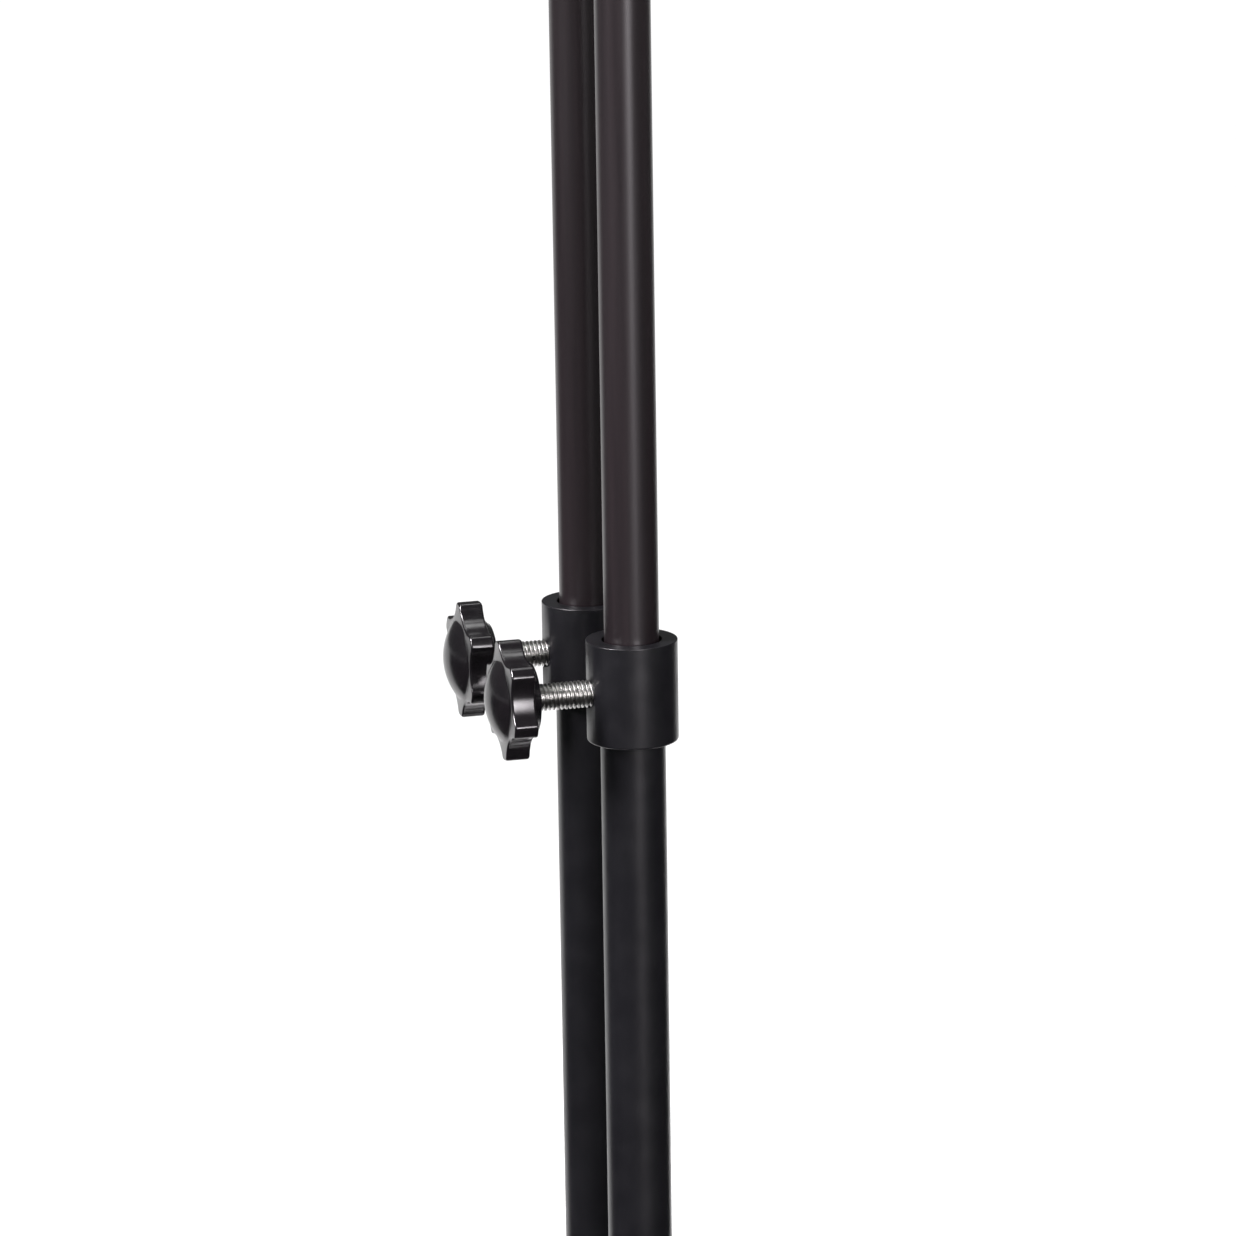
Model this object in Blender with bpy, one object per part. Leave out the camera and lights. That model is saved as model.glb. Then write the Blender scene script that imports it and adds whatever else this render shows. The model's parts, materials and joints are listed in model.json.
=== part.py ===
"""Double-post music stand: an H base, two telescoping posts with clamp knobs, and a desk that tilts.

Metres, +Z up. The origin is on the floor, midway between the posts. The player stands on the -Y side,
so the knobs point towards -Y, and left and right are the player's.
"""

import math

import bmesh
import bpy
from mathutils import Vector

# Play and mesh quality
GAP = 0.0003  # left between pieces that touch
TOUCHING = 1e-6  # points closer than this are one point
ROUND_STEPS = 24
SMALL_ROUND_STEPS = 12
SHARP_ANGLE = math.radians(35)

# Base
RAIL_LENGTH = 0.450
RAIL_SPACING = 0.360
RAIL_WIDTH = 0.040
RAIL_HEIGHT = 0.020
RAIL_WALL = 0.0015
RAIL_CORNER = 0.003
CAP_THICKNESS = 0.003
CAP_PLUG_LENGTH = 0.012
FOOT_PAD_RADIUS = 0.014
FOOT_PAD_HEIGHT = 0.006
FOOT_PAD_CHAMFER = 0.001
FOOT_PAD_INSET = 0.028  # from the rail's end to the pad's centre
BASE_BOLT_DIAMETER = 0.008
BASE_BOLT_OFFSET = 0.011  # from the crossbar's middle line
BASE_BOLT_GRIP = 0.006  # shank inside the rail

# Posts
POST_HEIGHT = 0.560  # floor to the top of the collars
POST_SPACING = 0.050
UPPER_TUBE_DIAMETER = 0.016
UPPER_TUBE_LENGTH = 0.640
UPPER_TUBE_WALL = 0.0012
LOWER_TUBE_WALL = 0.0012
INSERTION = 0.200  # length of upper tube below the top of the collar
PLUG_FLANGE = 0.002
PLUG_LENGTH = 0.010

SOCKET_HEIGHT = 0.034
SOCKET_WALL = 0.0034
SOCKET_FLOOR = 0.002
SOCKET_FLANGE_RIM = 0.0045
SOCKET_FLANGE_THICKNESS = 0.003
SOCKET_SCREW_DROP = 0.010  # from the socket's top to its grub screw
GRUB_SCREW_DIAMETER = 0.005

COLLAR_HEIGHT = 0.030
COLLAR_WALL = 0.00355
COLLAR_GUIDE_HEIGHT = 0.006  # narrow mouth above the lower tube
COLLAR_GUIDE_PLAY = 0.0007
COLLAR_EDGE = 0.0007
COLLAR_MOUTH_EDGE = 0.0003

# Clamps
STUD_DIAMETER = 0.008
STUD_DROP = 0.0153  # from the collar's top to the stud's axis
STUD_CHAMFER = 0.0006
PAD_DIAMETER = 0.0066
PAD_THICKNESS = 0.003
KNOB_STANDOFF = 0.0164  # from the collar's side to the knob's boss
KNOB_RADIUS = 0.0175
KNOB_VALLEY_RADIUS = 0.0135
KNOB_LOBES = 6
KNOB_TIP_ANGLE = math.radians(13)
KNOB_RIM = 0.0071
KNOB_EDGE = 0.0005
KNOB_BOSS_RADIUS = 0.0130  # where it meets the lobes
KNOB_BOSS_END_RADIUS = 0.0104
KNOB_BOSS_HEIGHT = 0.0026
KNOB_BORE_DEPTH = 0.006
KNOB_DOME_RADIUS = 0.0122
KNOB_DOME_HEIGHT = 0.0046
KNOB_DOME_STEPS = 4
KNOB_TURNS = {"left": 0.0, "right": math.radians(11)}  # how far each stands turned from a lobe straight up

# Head and tilt joint
HEAD_HEIGHT = 0.030
HEAD_WALL = 0.0055  # metal left around the upper tubes
HEAD_EDGE = 0.0015
HEAD_BORE_DEPTH = 0.024
HEAD_SCREW_RISE = 0.012  # from the head's underside to its grub screws
YOKE_WIDTH = 0.040
YOKE_DEPTH = 0.026
YOKE_WALL = 0.003
YOKE_HEIGHT = 0.034  # from the yoke's underside to the tilt axis
YOKE_EAR_ROUND = 0.012
YOKE_SCREW_OFFSET = 0.007
SCREW_DIAMETER = 0.005
SCREW_LENGTH = 0.014
TILT_BOLT_DIAMETER = 0.008
TILT_BOLT_HEAD_RADIUS = 0.008
TILT_BOLT_HEAD_HEIGHT = 0.004
FRICTION_WASHER_THICKNESS = 0.001
FRICTION_WASHER_RADIUS = 0.011
TILT_WASHER_THICKNESS = 0.0015
TILT_WASHER_RADIUS = 0.009

# Desk
DESK_WIDTH = 0.500
DESK_HEIGHT = 0.340
DESK_BELOW_AXIS = 0.135
DESK_SHEET = 0.0015
DESK_FLANGE = 0.012
DESK_CORNER = 0.018
DESK_OFFSET = 0.036  # from the tilt axis to the sheet's back
DESK_TILT = math.radians(25)  # from upright
BRACKET_CLEARANCE = 0.002  # over the head block when the desk is upright
BRACKET_WALL = 0.003
BRACKET_EAR_REACH = 0.011  # past the tilt axis
BRACKET_EAR_ROUND = 0.024
BRACKET_RIVET_X = 0.014
BRACKET_RIVET_EDGE = 0.008  # from the bracket's upper or lower edge
LIP_DEPTH = 0.048
LIP_UPTURN = 0.014
LIP_INSET = 0.026  # from the desk's side to the lip's end
LIP_CORNER = 0.008
LIP_RIVET_INSET = 0.035
LIP_RIVETS = 4
RIVET_DIAMETER = 0.004
RIVET_HEAD_RADIUS = 0.0038
RIVET_HEAD_HEIGHT = 0.0014
RIVET_TAIL_RADIUS = 0.0030
RIVET_TAIL_HEIGHT = 0.0007

# A socket-head screw's proportions, as shares of its diameter
SCREW_HEAD = 0.80  # radius
SCREW_KEY = 0.70  # across flats
SCREW_HEAD_EDGE = 0.06
SCREW_SOCKET_FLOOR = 0.45  # above the head's seat

# Worked out from the sizes above
UPPER_TUBE_RADIUS = UPPER_TUBE_DIAMETER / 2
LOWER_TUBE_BORE = UPPER_TUBE_RADIUS + GAP
LOWER_TUBE_RADIUS = LOWER_TUBE_BORE + LOWER_TUBE_WALL
COLLAR_BORE = LOWER_TUBE_RADIUS + GAP
COLLAR_RADIUS = COLLAR_BORE + COLLAR_WALL
RAIL_BOTTOM = FOOT_PAD_HEIGHT + GAP
RAIL_TOP = RAIL_BOTTOM + RAIL_HEIGHT
CROSSBAR_BOTTOM = RAIL_TOP + GAP
CROSSBAR_TOP = CROSSBAR_BOTTOM + RAIL_HEIGHT
SOCKET_BOTTOM = CROSSBAR_TOP + GAP
LOWER_TUBE_BOTTOM = SOCKET_BOTTOM + SOCKET_FLOOR + GAP
LOWER_TUBE_TOP = POST_HEIGHT - COLLAR_GUIDE_HEIGHT - GAP
STUD_HEIGHT = POST_HEIGHT - STUD_DROP
STUD_HOLE_RADIUS = STUD_DIAMETER / 2 + GAP
UPPER_TUBE_BOTTOM = POST_HEIGHT - INSERTION
UPPER_TUBE_TOP = UPPER_TUBE_BOTTOM + UPPER_TUBE_LENGTH
HEAD_BOTTOM = UPPER_TUBE_TOP + GAP - HEAD_BORE_DEPTH
HEAD_TOP = HEAD_BOTTOM + HEAD_HEIGHT
HEAD_BORE = UPPER_TUBE_RADIUS + GAP
YOKE_BOTTOM = HEAD_TOP + GAP
TILT_AXIS_HEIGHT = YOKE_BOTTOM + YOKE_HEIGHT
TILT_HOLE_RADIUS = TILT_BOLT_DIAMETER / 2 + GAP
BRACKET_INSIDE = YOKE_WIDTH / 2 + FRICTION_WASHER_THICKNESS + 2 * GAP
BRACKET_OUTSIDE = BRACKET_INSIDE + BRACKET_WALL
BRACKET_HEIGHT = 2 * (YOKE_HEIGHT - BRACKET_CLEARANCE)
LIP_WIDTH = DESK_WIDTH - 2 * LIP_INSET
RIVET_HOLE_RADIUS = RIVET_DIAMETER / 2 + GAP
SIDES = (("left", -1), ("right", 1))
ENDS = (("front", -1), ("rear", 1))


def clear_scene():
    for obj in list(bpy.data.objects):
        bpy.data.objects.remove(obj, do_unlink=True)


def material(name, colour, roughness, metallic):
    made = bpy.data.materials.new(name)
    made.use_nodes = True
    shader = made.node_tree.nodes["Principled BSDF"]
    shader.inputs["Base Color"].default_value = (*colour, 1)
    shader.inputs["Roughness"].default_value = roughness
    shader.inputs["Metallic"].default_value = metallic
    made.diffuse_color = (*colour, 1)
    return made


def materials():
    return {
        "base": material("powder_coat", (0.020, 0.020, 0.023), 0.50, 0.0),
        "tube": material("satin_enamel", (0.030, 0.026, 0.029), 0.38, 0.0),
        "knob": material("knob_plastic", (0.020, 0.018, 0.021), 0.22, 0.0),
        "steel": material("zinc_plate", (0.62, 0.63, 0.62), 0.32, 1.0),
        "rubber": material("rubber", (0.018, 0.018, 0.018), 0.80, 0.0),
        "nylon": material("nylon", (0.60, 0.58, 0.52), 0.55, 0.0),
        "cap": material("cap_plastic", (0.022, 0.022, 0.024), 0.60, 0.0),
    }


# Outlines are lists of (x, y) points that run anticlockwise.
def arc(centre, radius, start, end, steps):
    """Points from angle start to angle end, both included."""
    angles = (start + (end - start) * i / steps for i in range(steps + 1))
    return [(centre[0] + radius * math.cos(a), centre[1] + radius * math.sin(a)) for a in angles]


def circle(radius, steps, turn=0.0):
    return arc((0, 0), radius, turn, turn + math.tau * (steps - 1) / steps, steps - 1)


def rounded_rectangle(width, height, corner, corner_steps=3):
    points = []
    for quarter, (side_x, side_y) in enumerate(((1, 1), (-1, 1), (-1, -1), (1, -1))):
        centre = (side_x * (width / 2 - corner), side_y * (height / 2 - corner))
        start = quarter * math.pi / 2
        points += arc(centre, corner, start, start + math.pi / 2, corner_steps)
    return points


def hexagon(across_flats, steps):
    """A hexagon with steps points in all, one at the angle of each point of circle()."""
    points = []
    for i in range(steps):
        angle = math.tau * i / steps
        from_flat = (angle + math.pi / 6) % (math.pi / 3) - math.pi / 6
        radius = across_flats / 2 / math.cos(from_flat)
        points.append((radius * math.cos(angle), radius * math.sin(angle)))
    return points


def star(inset=0.0, valley_steps=4, tip_steps=1):
    """The knob's outline: narrow lobes with a round finger hollow between each pair. The first lobe is on +Y."""
    lobe_angle = math.tau / KNOB_LOBES
    half_valley = (lobe_angle - KNOB_TIP_ANGLE) / 2
    tip_radius = KNOB_RADIUS - inset
    corner = Vector((math.cos(half_valley), math.sin(half_valley))) * KNOB_RADIUS
    depth = corner.x - KNOB_VALLEY_RADIUS
    hollow_radius = (corner.y ** 2 + depth ** 2) / (2 * depth)
    hollow_centre = KNOB_VALLEY_RADIUS + hollow_radius
    sweep = math.asin(corner.y / hollow_radius) * (1 - inset / KNOB_RADIUS)
    points = []
    for lobe in range(KNOB_LOBES):
        turn = math.pi / 2 + lobe * lobe_angle
        half_tip = KNOB_TIP_ANGLE / 2 - inset / KNOB_RADIUS
        points += arc((0, 0), tip_radius, turn - half_tip, turn + half_tip, tip_steps)
        middle = turn + lobe_angle / 2
        centre = (hollow_centre * math.cos(middle), hollow_centre * math.sin(middle))
        start = middle + math.pi + sweep
        inner = arc(centre, hollow_radius + inset, start, start - 2 * sweep, valley_steps + 1)
        points += inner[1:-1]
    return points


def same_angles(outline, radius):
    """A circle with one point in the direction of each point of the outline."""
    return [tuple(Vector(point).normalized() * radius) for point in outline]


def level(outline, height):
    return [(x, y, height) for x, y in outline]


# Meshes
def finish_mesh(name, bm):
    bmesh.ops.remove_doubles(bm, verts=bm.verts, dist=TOUCHING)
    bmesh.ops.recalc_face_normals(bm, faces=bm.faces)
    mesh = bpy.data.meshes.new(name)
    bm.to_mesh(mesh)
    bm.free()
    mesh.shade_smooth()
    mesh.set_sharp_from_angle(angle=SHARP_ANGLE)
    return mesh


def loft(name, rings, closed=False):
    """Joins rings with the same number of points. A closed loft joins its last ring to its first."""
    bm = bmesh.new()
    loops = [[bm.verts.new(point) for point in ring] for ring in rings]
    pairs = list(zip(loops, loops[1:]))
    if closed:
        pairs.append((loops[-1], loops[0]))
    for lower, upper in pairs:
        for i in range(len(lower)):
            bm.faces.new((lower[i - 1], lower[i], upper[i], upper[i - 1]))
    if not closed:
        bm.faces.new(loops[0])
        bm.faces.new(loops[-1])
    return finish_mesh(name, bm)


def turned(name, profile, steps=ROUND_STEPS):
    """Turns a closed outline of (radius, height) points about Z."""
    bm = bmesh.new()
    corners = [bm.verts.new((radius, 0, height)) for radius, height in profile]
    edges = []
    for i, corner in enumerate(corners):
        before = corners[i - 1]
        if corner.co.x > TOUCHING or before.co.x > TOUCHING:
            edges.append(bm.edges.new((before, corner)))
    bmesh.ops.spin(bm, geom=corners + edges, cent=(0, 0, 0), axis=(0, 0, 1), angle=math.tau,
                   steps=steps, use_merge=True)
    return finish_mesh(name, bm)


def rod(name, radius, bottom, top, chamfer=0.0, steps=ROUND_STEPS):
    if not chamfer:
        return loft(name, [level(circle(radius, steps), bottom), level(circle(radius, steps), top)])
    return turned(name, [(0, bottom), (radius - chamfer, bottom), (radius, bottom + chamfer),
                         (radius, top - chamfer), (radius - chamfer, top), (0, top)], steps)


def pipe(name, radius, bore, bottom, top, steps=ROUND_STEPS):
    return turned(name, [(bore, bottom), (radius, bottom), (radius, top), (bore, top)], steps)


def box_section(name, length):
    """A length of the base's rectangular tube along Z, centred on the origin."""
    outer = rounded_rectangle(RAIL_WIDTH, RAIL_HEIGHT, RAIL_CORNER)
    inner = rounded_rectangle(RAIL_WIDTH - 2 * RAIL_WALL, RAIL_HEIGHT - 2 * RAIL_WALL, RAIL_CORNER - RAIL_WALL)
    bottom, top = -length / 2, length / 2
    return loft(name, [level(outer, bottom), level(outer, top), level(inner, top), level(inner, bottom)],
                closed=True)


def section_cap(name):
    """A plug for the rectangular tube: its flange stands on z = 0, and its body points down."""
    outer = rounded_rectangle(RAIL_WIDTH, RAIL_HEIGHT, RAIL_CORNER)
    rim = rounded_rectangle(RAIL_WIDTH - CAP_THICKNESS, RAIL_HEIGHT - CAP_THICKNESS, RAIL_CORNER)
    smaller = 2 * (RAIL_WALL + GAP)
    body = rounded_rectangle(RAIL_WIDTH - smaller, RAIL_HEIGHT - smaller, RAIL_CORNER - RAIL_WALL)
    return loft(name, [level(body, -CAP_PLUG_LENGTH), level(body, 0), level(outer, 0),
                       level(outer, CAP_THICKNESS / 2), level(rim, CAP_THICKNESS)])


def cap_screw(name, diameter, length, steps=SMALL_ROUND_STEPS):
    """A socket-head screw: the head stands on z = 0, and the shank points down."""
    radius = diameter / 2
    head_radius = SCREW_HEAD * diameter
    edge = SCREW_HEAD_EDGE * diameter
    head = circle(head_radius, steps)
    socket = hexagon(SCREW_KEY * diameter, steps)
    return loft(name, [level(circle(radius, steps), -length), level(circle(radius, steps), 0), level(head, 0),
                       level(head, diameter - edge), level(circle(head_radius - edge, steps), diameter),
                       level(socket, diameter), level(socket, SCREW_SOCKET_FLOOR * diameter)])


def grub_screw(name, length, steps=SMALL_ROUND_STEPS):
    """A headless screw from z = 0 up to z = length, with its key socket at the top."""
    shank = circle(GRUB_SCREW_DIAMETER / 2, steps)
    socket = hexagon(GRUB_SCREW_DIAMETER / 2, steps)
    return loft(name, [level(shank, 0), level(shank, length), level(socket, length),
                       level(socket, length / 2)])


def rivet(name, grip, steps=SMALL_ROUND_STEPS):
    """A domed head above z = 0 and a flat one below z = -grip."""
    shank = RIVET_DIAMETER / 2
    domed = [(RIVET_HEAD_RADIUS * math.cos(a), RIVET_HEAD_HEIGHT * math.sin(a))
             for a in (i * math.pi / 6 for i in range(4))]
    domed[-1] = (0, RIVET_HEAD_HEIGHT)
    tail = -grip - RIVET_TAIL_HEIGHT
    return turned(name, [(0, tail), (RIVET_TAIL_RADIUS, tail), (RIVET_TAIL_RADIUS, -grip),
                         (shank, -grip), (shank, 0), *domed], steps)


def countersunk_rivet(name, grip, steps=SMALL_ROUND_STEPS):
    """A rivet whose head is flush with z = 0 and fills the desk sheet's thickness, with a flat tail."""
    shank = RIVET_DIAMETER / 2
    tail = -grip - RIVET_TAIL_HEIGHT
    return turned(name, [(0, tail), (RIVET_TAIL_RADIUS, tail), (RIVET_TAIL_RADIUS, -grip),
                         (shank, -grip), (shank, -DESK_SHEET), (RIVET_HEAD_RADIUS, 0), (0, 0)], steps)


def knob(name):
    """The star knob along Z: its boss's back is on z = 0, and its face is up."""
    back = KNOB_BOSS_HEIGHT
    face = back + KNOB_RIM
    full, inset = star(), star(KNOB_EDGE)
    bore = same_angles(full, STUD_HOLE_RADIUS)
    boss = same_angles(full, KNOB_BOSS_RADIUS - KNOB_EDGE)
    boss_end = same_angles(full, KNOB_BOSS_END_RADIUS)
    sphere = (KNOB_DOME_RADIUS ** 2 + KNOB_DOME_HEIGHT ** 2) / (2 * KNOB_DOME_HEIGHT)
    half_angle = math.asin(KNOB_DOME_RADIUS / sphere)
    dome = []
    for i in range(KNOB_DOME_STEPS):
        angle = half_angle * (1 - i / KNOB_DOME_STEPS)
        height = face + sphere * (math.cos(angle) - math.cos(half_angle))
        dome.append(level(same_angles(full, sphere * math.sin(angle)), height))
    return loft(name, [level(bore, KNOB_BORE_DEPTH), level(bore, 0), level(boss_end, 0), level(boss, back),
                       level(inset, back), level(full, back + KNOB_EDGE), level(full, face - KNOB_EDGE),
                       level(inset, face), *dome])


def channel(name, outside, wall, length, height, ear_round):
    """A U of sheet: its web is on z = 0, its two ears stand up at x = +-outside, and its length is along Y.

    The ears' free corners are rounded.
    """
    inside = outside - wall
    profile = [(-outside, 0), (outside, 0), (outside, height), (inside, height), (inside, wall),
               (-inside, wall), (-inside, height), (-outside, height)]
    bm = bmesh.new()
    loops = [[bm.verts.new((x, y, z)) for x, z in profile] for y in (-length / 2, length / 2)]
    for i in range(len(profile)):
        bm.faces.new((loops[0][i - 1], loops[0][i], loops[1][i], loops[1][i - 1]))
    for loop in loops:
        bm.faces.new(loop)
    bm.edges.ensure_lookup_table()
    corners = [edge for edge in bm.edges
               if all(abs(v.co.z - height) < TOUCHING for v in edge.verts)
               and abs(edge.verts[0].co.y - edge.verts[1].co.y) < TOUCHING]
    bmesh.ops.bevel(bm, geom=corners, offset=ear_round, segments=4, profile=0.5, affect="EDGES")
    return finish_mesh(name, bm)


# Objects
def place(name, mesh, surface, location=(0, 0, 0), rotation=(0, 0, 0), parent=None):
    obj = bpy.data.objects.new(name, mesh)
    bpy.context.scene.collection.objects.link(obj)
    if mesh:
        mesh.materials.clear()
        mesh.materials.append(surface)
    obj.location = location
    obj.rotation_euler = rotation
    obj.parent = parent
    return obj


def pivot(name, location, rotation=(0, 0, 0)):
    return place(name, None, None, location, rotation)


def cut(obj, name, mesh, location=(0, 0, 0), rotation=(0, 0, 0), parent=None):
    """Cuts a hidden mesh out of the object."""
    cutter = bpy.data.objects.new(name, mesh)
    bpy.context.scene.collection.objects.link(cutter)
    cutter.location = location
    cutter.rotation_euler = rotation
    cutter.parent = parent
    cutter.hide_render = True
    cutter.display_type = "WIRE"
    modifier = obj.modifiers.new(name, "BOOLEAN")
    modifier.operation = "DIFFERENCE"
    modifier.solver = "EXACT"
    modifier.object = cutter


ALONG_X = (0, math.pi / 2, 0)  # turns +Z to +X
ALONG_MINUS_X = (0, -math.pi / 2, 0)
TO_FRONT = (math.pi / 2, 0, 0)  # turns +Z to -Y
TO_REAR = (-math.pi / 2, 0, 0)


def build_base(surfaces):
    rail_middle = RAIL_BOTTOM + RAIL_HEIGHT / 2
    crossbar_length = RAIL_SPACING + RAIL_WIDTH
    crossbar = place("base_crossbar", box_section("base_crossbar", crossbar_length), surfaces["base"],
                     (0, 0, CROSSBAR_BOTTOM + RAIL_HEIGHT / 2), (math.pi / 2, 0, math.pi / 2))
    bolt_hole = BASE_BOLT_DIAMETER / 2 + GAP
    bolt_length = RAIL_HEIGHT + 2 * GAP + RAIL_WALL + BASE_BOLT_GRIP
    bolt_mesh = cap_screw("base_bolt", BASE_BOLT_DIAMETER, bolt_length)
    cap_mesh = section_cap("rail_end_cap")
    pad_mesh = rod("foot_pad", FOOT_PAD_RADIUS, 0, FOOT_PAD_HEIGHT, FOOT_PAD_CHAMFER, SMALL_ROUND_STEPS)
    for side, sign in SIDES:
        x = sign * RAIL_SPACING / 2
        rail = place(f"foot_rail_{side}", box_section(f"foot_rail_{side}", RAIL_LENGTH), surfaces["base"],
                     (x, 0, rail_middle), (math.pi / 2, 0, 0))
        turn = (math.pi / 2, 0, sign * math.pi / 2)
        place(f"crossbar_end_cap_{side}", cap_mesh.copy(), surfaces["cap"],
              (sign * (crossbar_length / 2 + GAP), 0, CROSSBAR_BOTTOM + RAIL_HEIGHT / 2), turn)
        for end, way in ENDS:
            place(f"rail_end_cap_{end}_{side}", cap_mesh.copy(), surfaces["cap"],
                  (x, way * (RAIL_LENGTH / 2 + GAP), rail_middle), TO_REAR if way > 0 else TO_FRONT)
            place(f"foot_pad_{end}_{side}", pad_mesh.copy(), surfaces["rubber"],
                  (x, way * (RAIL_LENGTH / 2 - FOOT_PAD_INSET), 0))
            hole = (x, way * BASE_BOLT_OFFSET)
            place(f"base_bolt_{end}_{side}", bolt_mesh.copy(), surfaces["steel"], (*hole, CROSSBAR_TOP + GAP))
            cut(crossbar, f"crossbar_hole_{end}_{side}",
                rod("hole", bolt_hole, CROSSBAR_BOTTOM - GAP, CROSSBAR_TOP + GAP, steps=SMALL_ROUND_STEPS),
                (*hole, 0))
            cut(rail, f"rail_hole_{end}_{side}",
                rod("hole", bolt_hole, RAIL_TOP - 2 * RAIL_WALL, RAIL_TOP + GAP, steps=SMALL_ROUND_STEPS),
                (*hole, 0))


def build_post(side, sign, surfaces):
    x = sign * POST_SPACING / 2
    socket_radius = COLLAR_BORE + SOCKET_WALL
    flange_radius = socket_radius + SOCKET_FLANGE_RIM
    flange_top = SOCKET_FLANGE_THICKNESS
    socket = place(f"post_socket_{side}", turned(f"post_socket_{side}", [
        (0, 0), (flange_radius, 0), (flange_radius, flange_top), (socket_radius, flange_top),
        (socket_radius, SOCKET_HEIGHT), (COLLAR_BORE, SOCKET_HEIGHT), (COLLAR_BORE, SOCKET_FLOOR),
        (0, SOCKET_FLOOR)]), surfaces["base"], (x, 0, SOCKET_BOTTOM))
    screw_height = SOCKET_BOTTOM + SOCKET_HEIGHT - SOCKET_SCREW_DROP
    screw_hole = GRUB_SCREW_DIAMETER / 2 + GAP
    cut(socket, f"socket_screw_hole_{side}",
        rod("hole", screw_hole, LOWER_TUBE_RADIUS, socket_radius + GAP, steps=SMALL_ROUND_STEPS),
        (x, 0, screw_height), TO_REAR)
    place(f"socket_screw_{side}", grub_screw(f"socket_screw_{side}", SOCKET_WALL), surfaces["steel"],
          (x, LOWER_TUBE_RADIUS + GAP, screw_height), TO_REAR)

    lower = place(f"lower_tube_{side}",
                  pipe(f"lower_tube_{side}", LOWER_TUBE_RADIUS, LOWER_TUBE_BORE, LOWER_TUBE_BOTTOM, LOWER_TUBE_TOP),
                  surfaces["base"], (x, 0, 0))
    collar_bottom = POST_HEIGHT - COLLAR_HEIGHT
    guide_bore = UPPER_TUBE_RADIUS + COLLAR_GUIDE_PLAY
    guide_bottom = POST_HEIGHT - COLLAR_GUIDE_HEIGHT
    collar = place(f"collar_{side}", turned(f"collar_{side}", [
        (COLLAR_BORE, collar_bottom), (COLLAR_RADIUS - COLLAR_EDGE, collar_bottom),
        (COLLAR_RADIUS, collar_bottom + COLLAR_EDGE), (COLLAR_RADIUS, POST_HEIGHT - COLLAR_EDGE),
        (COLLAR_RADIUS - COLLAR_EDGE, POST_HEIGHT), (guide_bore + COLLAR_MOUTH_EDGE, POST_HEIGHT),
        (guide_bore, POST_HEIGHT - COLLAR_MOUTH_EDGE), (guide_bore, guide_bottom),
        (COLLAR_BORE, guide_bottom)]), surfaces["base"], (x, 0, 0))
    for obj in (lower, collar):
        cut(obj, f"stud_hole_{obj.name}",
            rod("hole", STUD_HOLE_RADIUS, UPPER_TUBE_RADIUS, COLLAR_RADIUS + GAP, steps=SMALL_ROUND_STEPS),
            (x, 0, STUD_HEIGHT), TO_FRONT)

    place(f"upper_tube_{side}", pipe(f"upper_tube_{side}", UPPER_TUBE_RADIUS, UPPER_TUBE_RADIUS - UPPER_TUBE_WALL,
                                     UPPER_TUBE_BOTTOM, UPPER_TUBE_TOP), surfaces["tube"], (x, 0, 0))
    spigot = UPPER_TUBE_RADIUS - UPPER_TUBE_WALL - GAP
    place(f"tube_plug_{side}", turned(f"tube_plug_{side}", [
        (0, -PLUG_FLANGE), (UPPER_TUBE_RADIUS, -PLUG_FLANGE), (UPPER_TUBE_RADIUS, 0), (spigot, 0),
        (spigot, PLUG_LENGTH), (0, PLUG_LENGTH)]), surfaces["cap"], (x, 0, UPPER_TUBE_BOTTOM - GAP))


def build_clamp(side, sign, surfaces):
    """The pad, the stud and the knob, which share an axis that points at the player."""
    axis = pivot(f"clamp_axis_{side}", (sign * POST_SPACING / 2, 0, STUD_HEIGHT), TO_FRONT)
    pad_start = UPPER_TUBE_RADIUS + GAP
    stud_start = pad_start + PAD_THICKNESS + GAP
    knob_start = COLLAR_RADIUS + KNOB_STANDOFF
    stud_end = knob_start + KNOB_BORE_DEPTH - GAP
    place(f"clamp_pad_{side}",
          rod(f"clamp_pad_{side}", PAD_DIAMETER / 2, pad_start, pad_start + PAD_THICKNESS, steps=SMALL_ROUND_STEPS),
          surfaces["nylon"], parent=axis)
    place(f"clamp_stud_{side}",
          rod(f"clamp_stud_{side}", STUD_DIAMETER / 2, stud_start, stud_end, STUD_CHAMFER,
              SMALL_ROUND_STEPS),
          surfaces["steel"], parent=axis)
    place(f"clamp_knob_{side}", knob(f"clamp_knob_{side}"), surfaces["knob"], (0, 0, knob_start),
          (0, 0, KNOB_TURNS[side]), axis)


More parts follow.
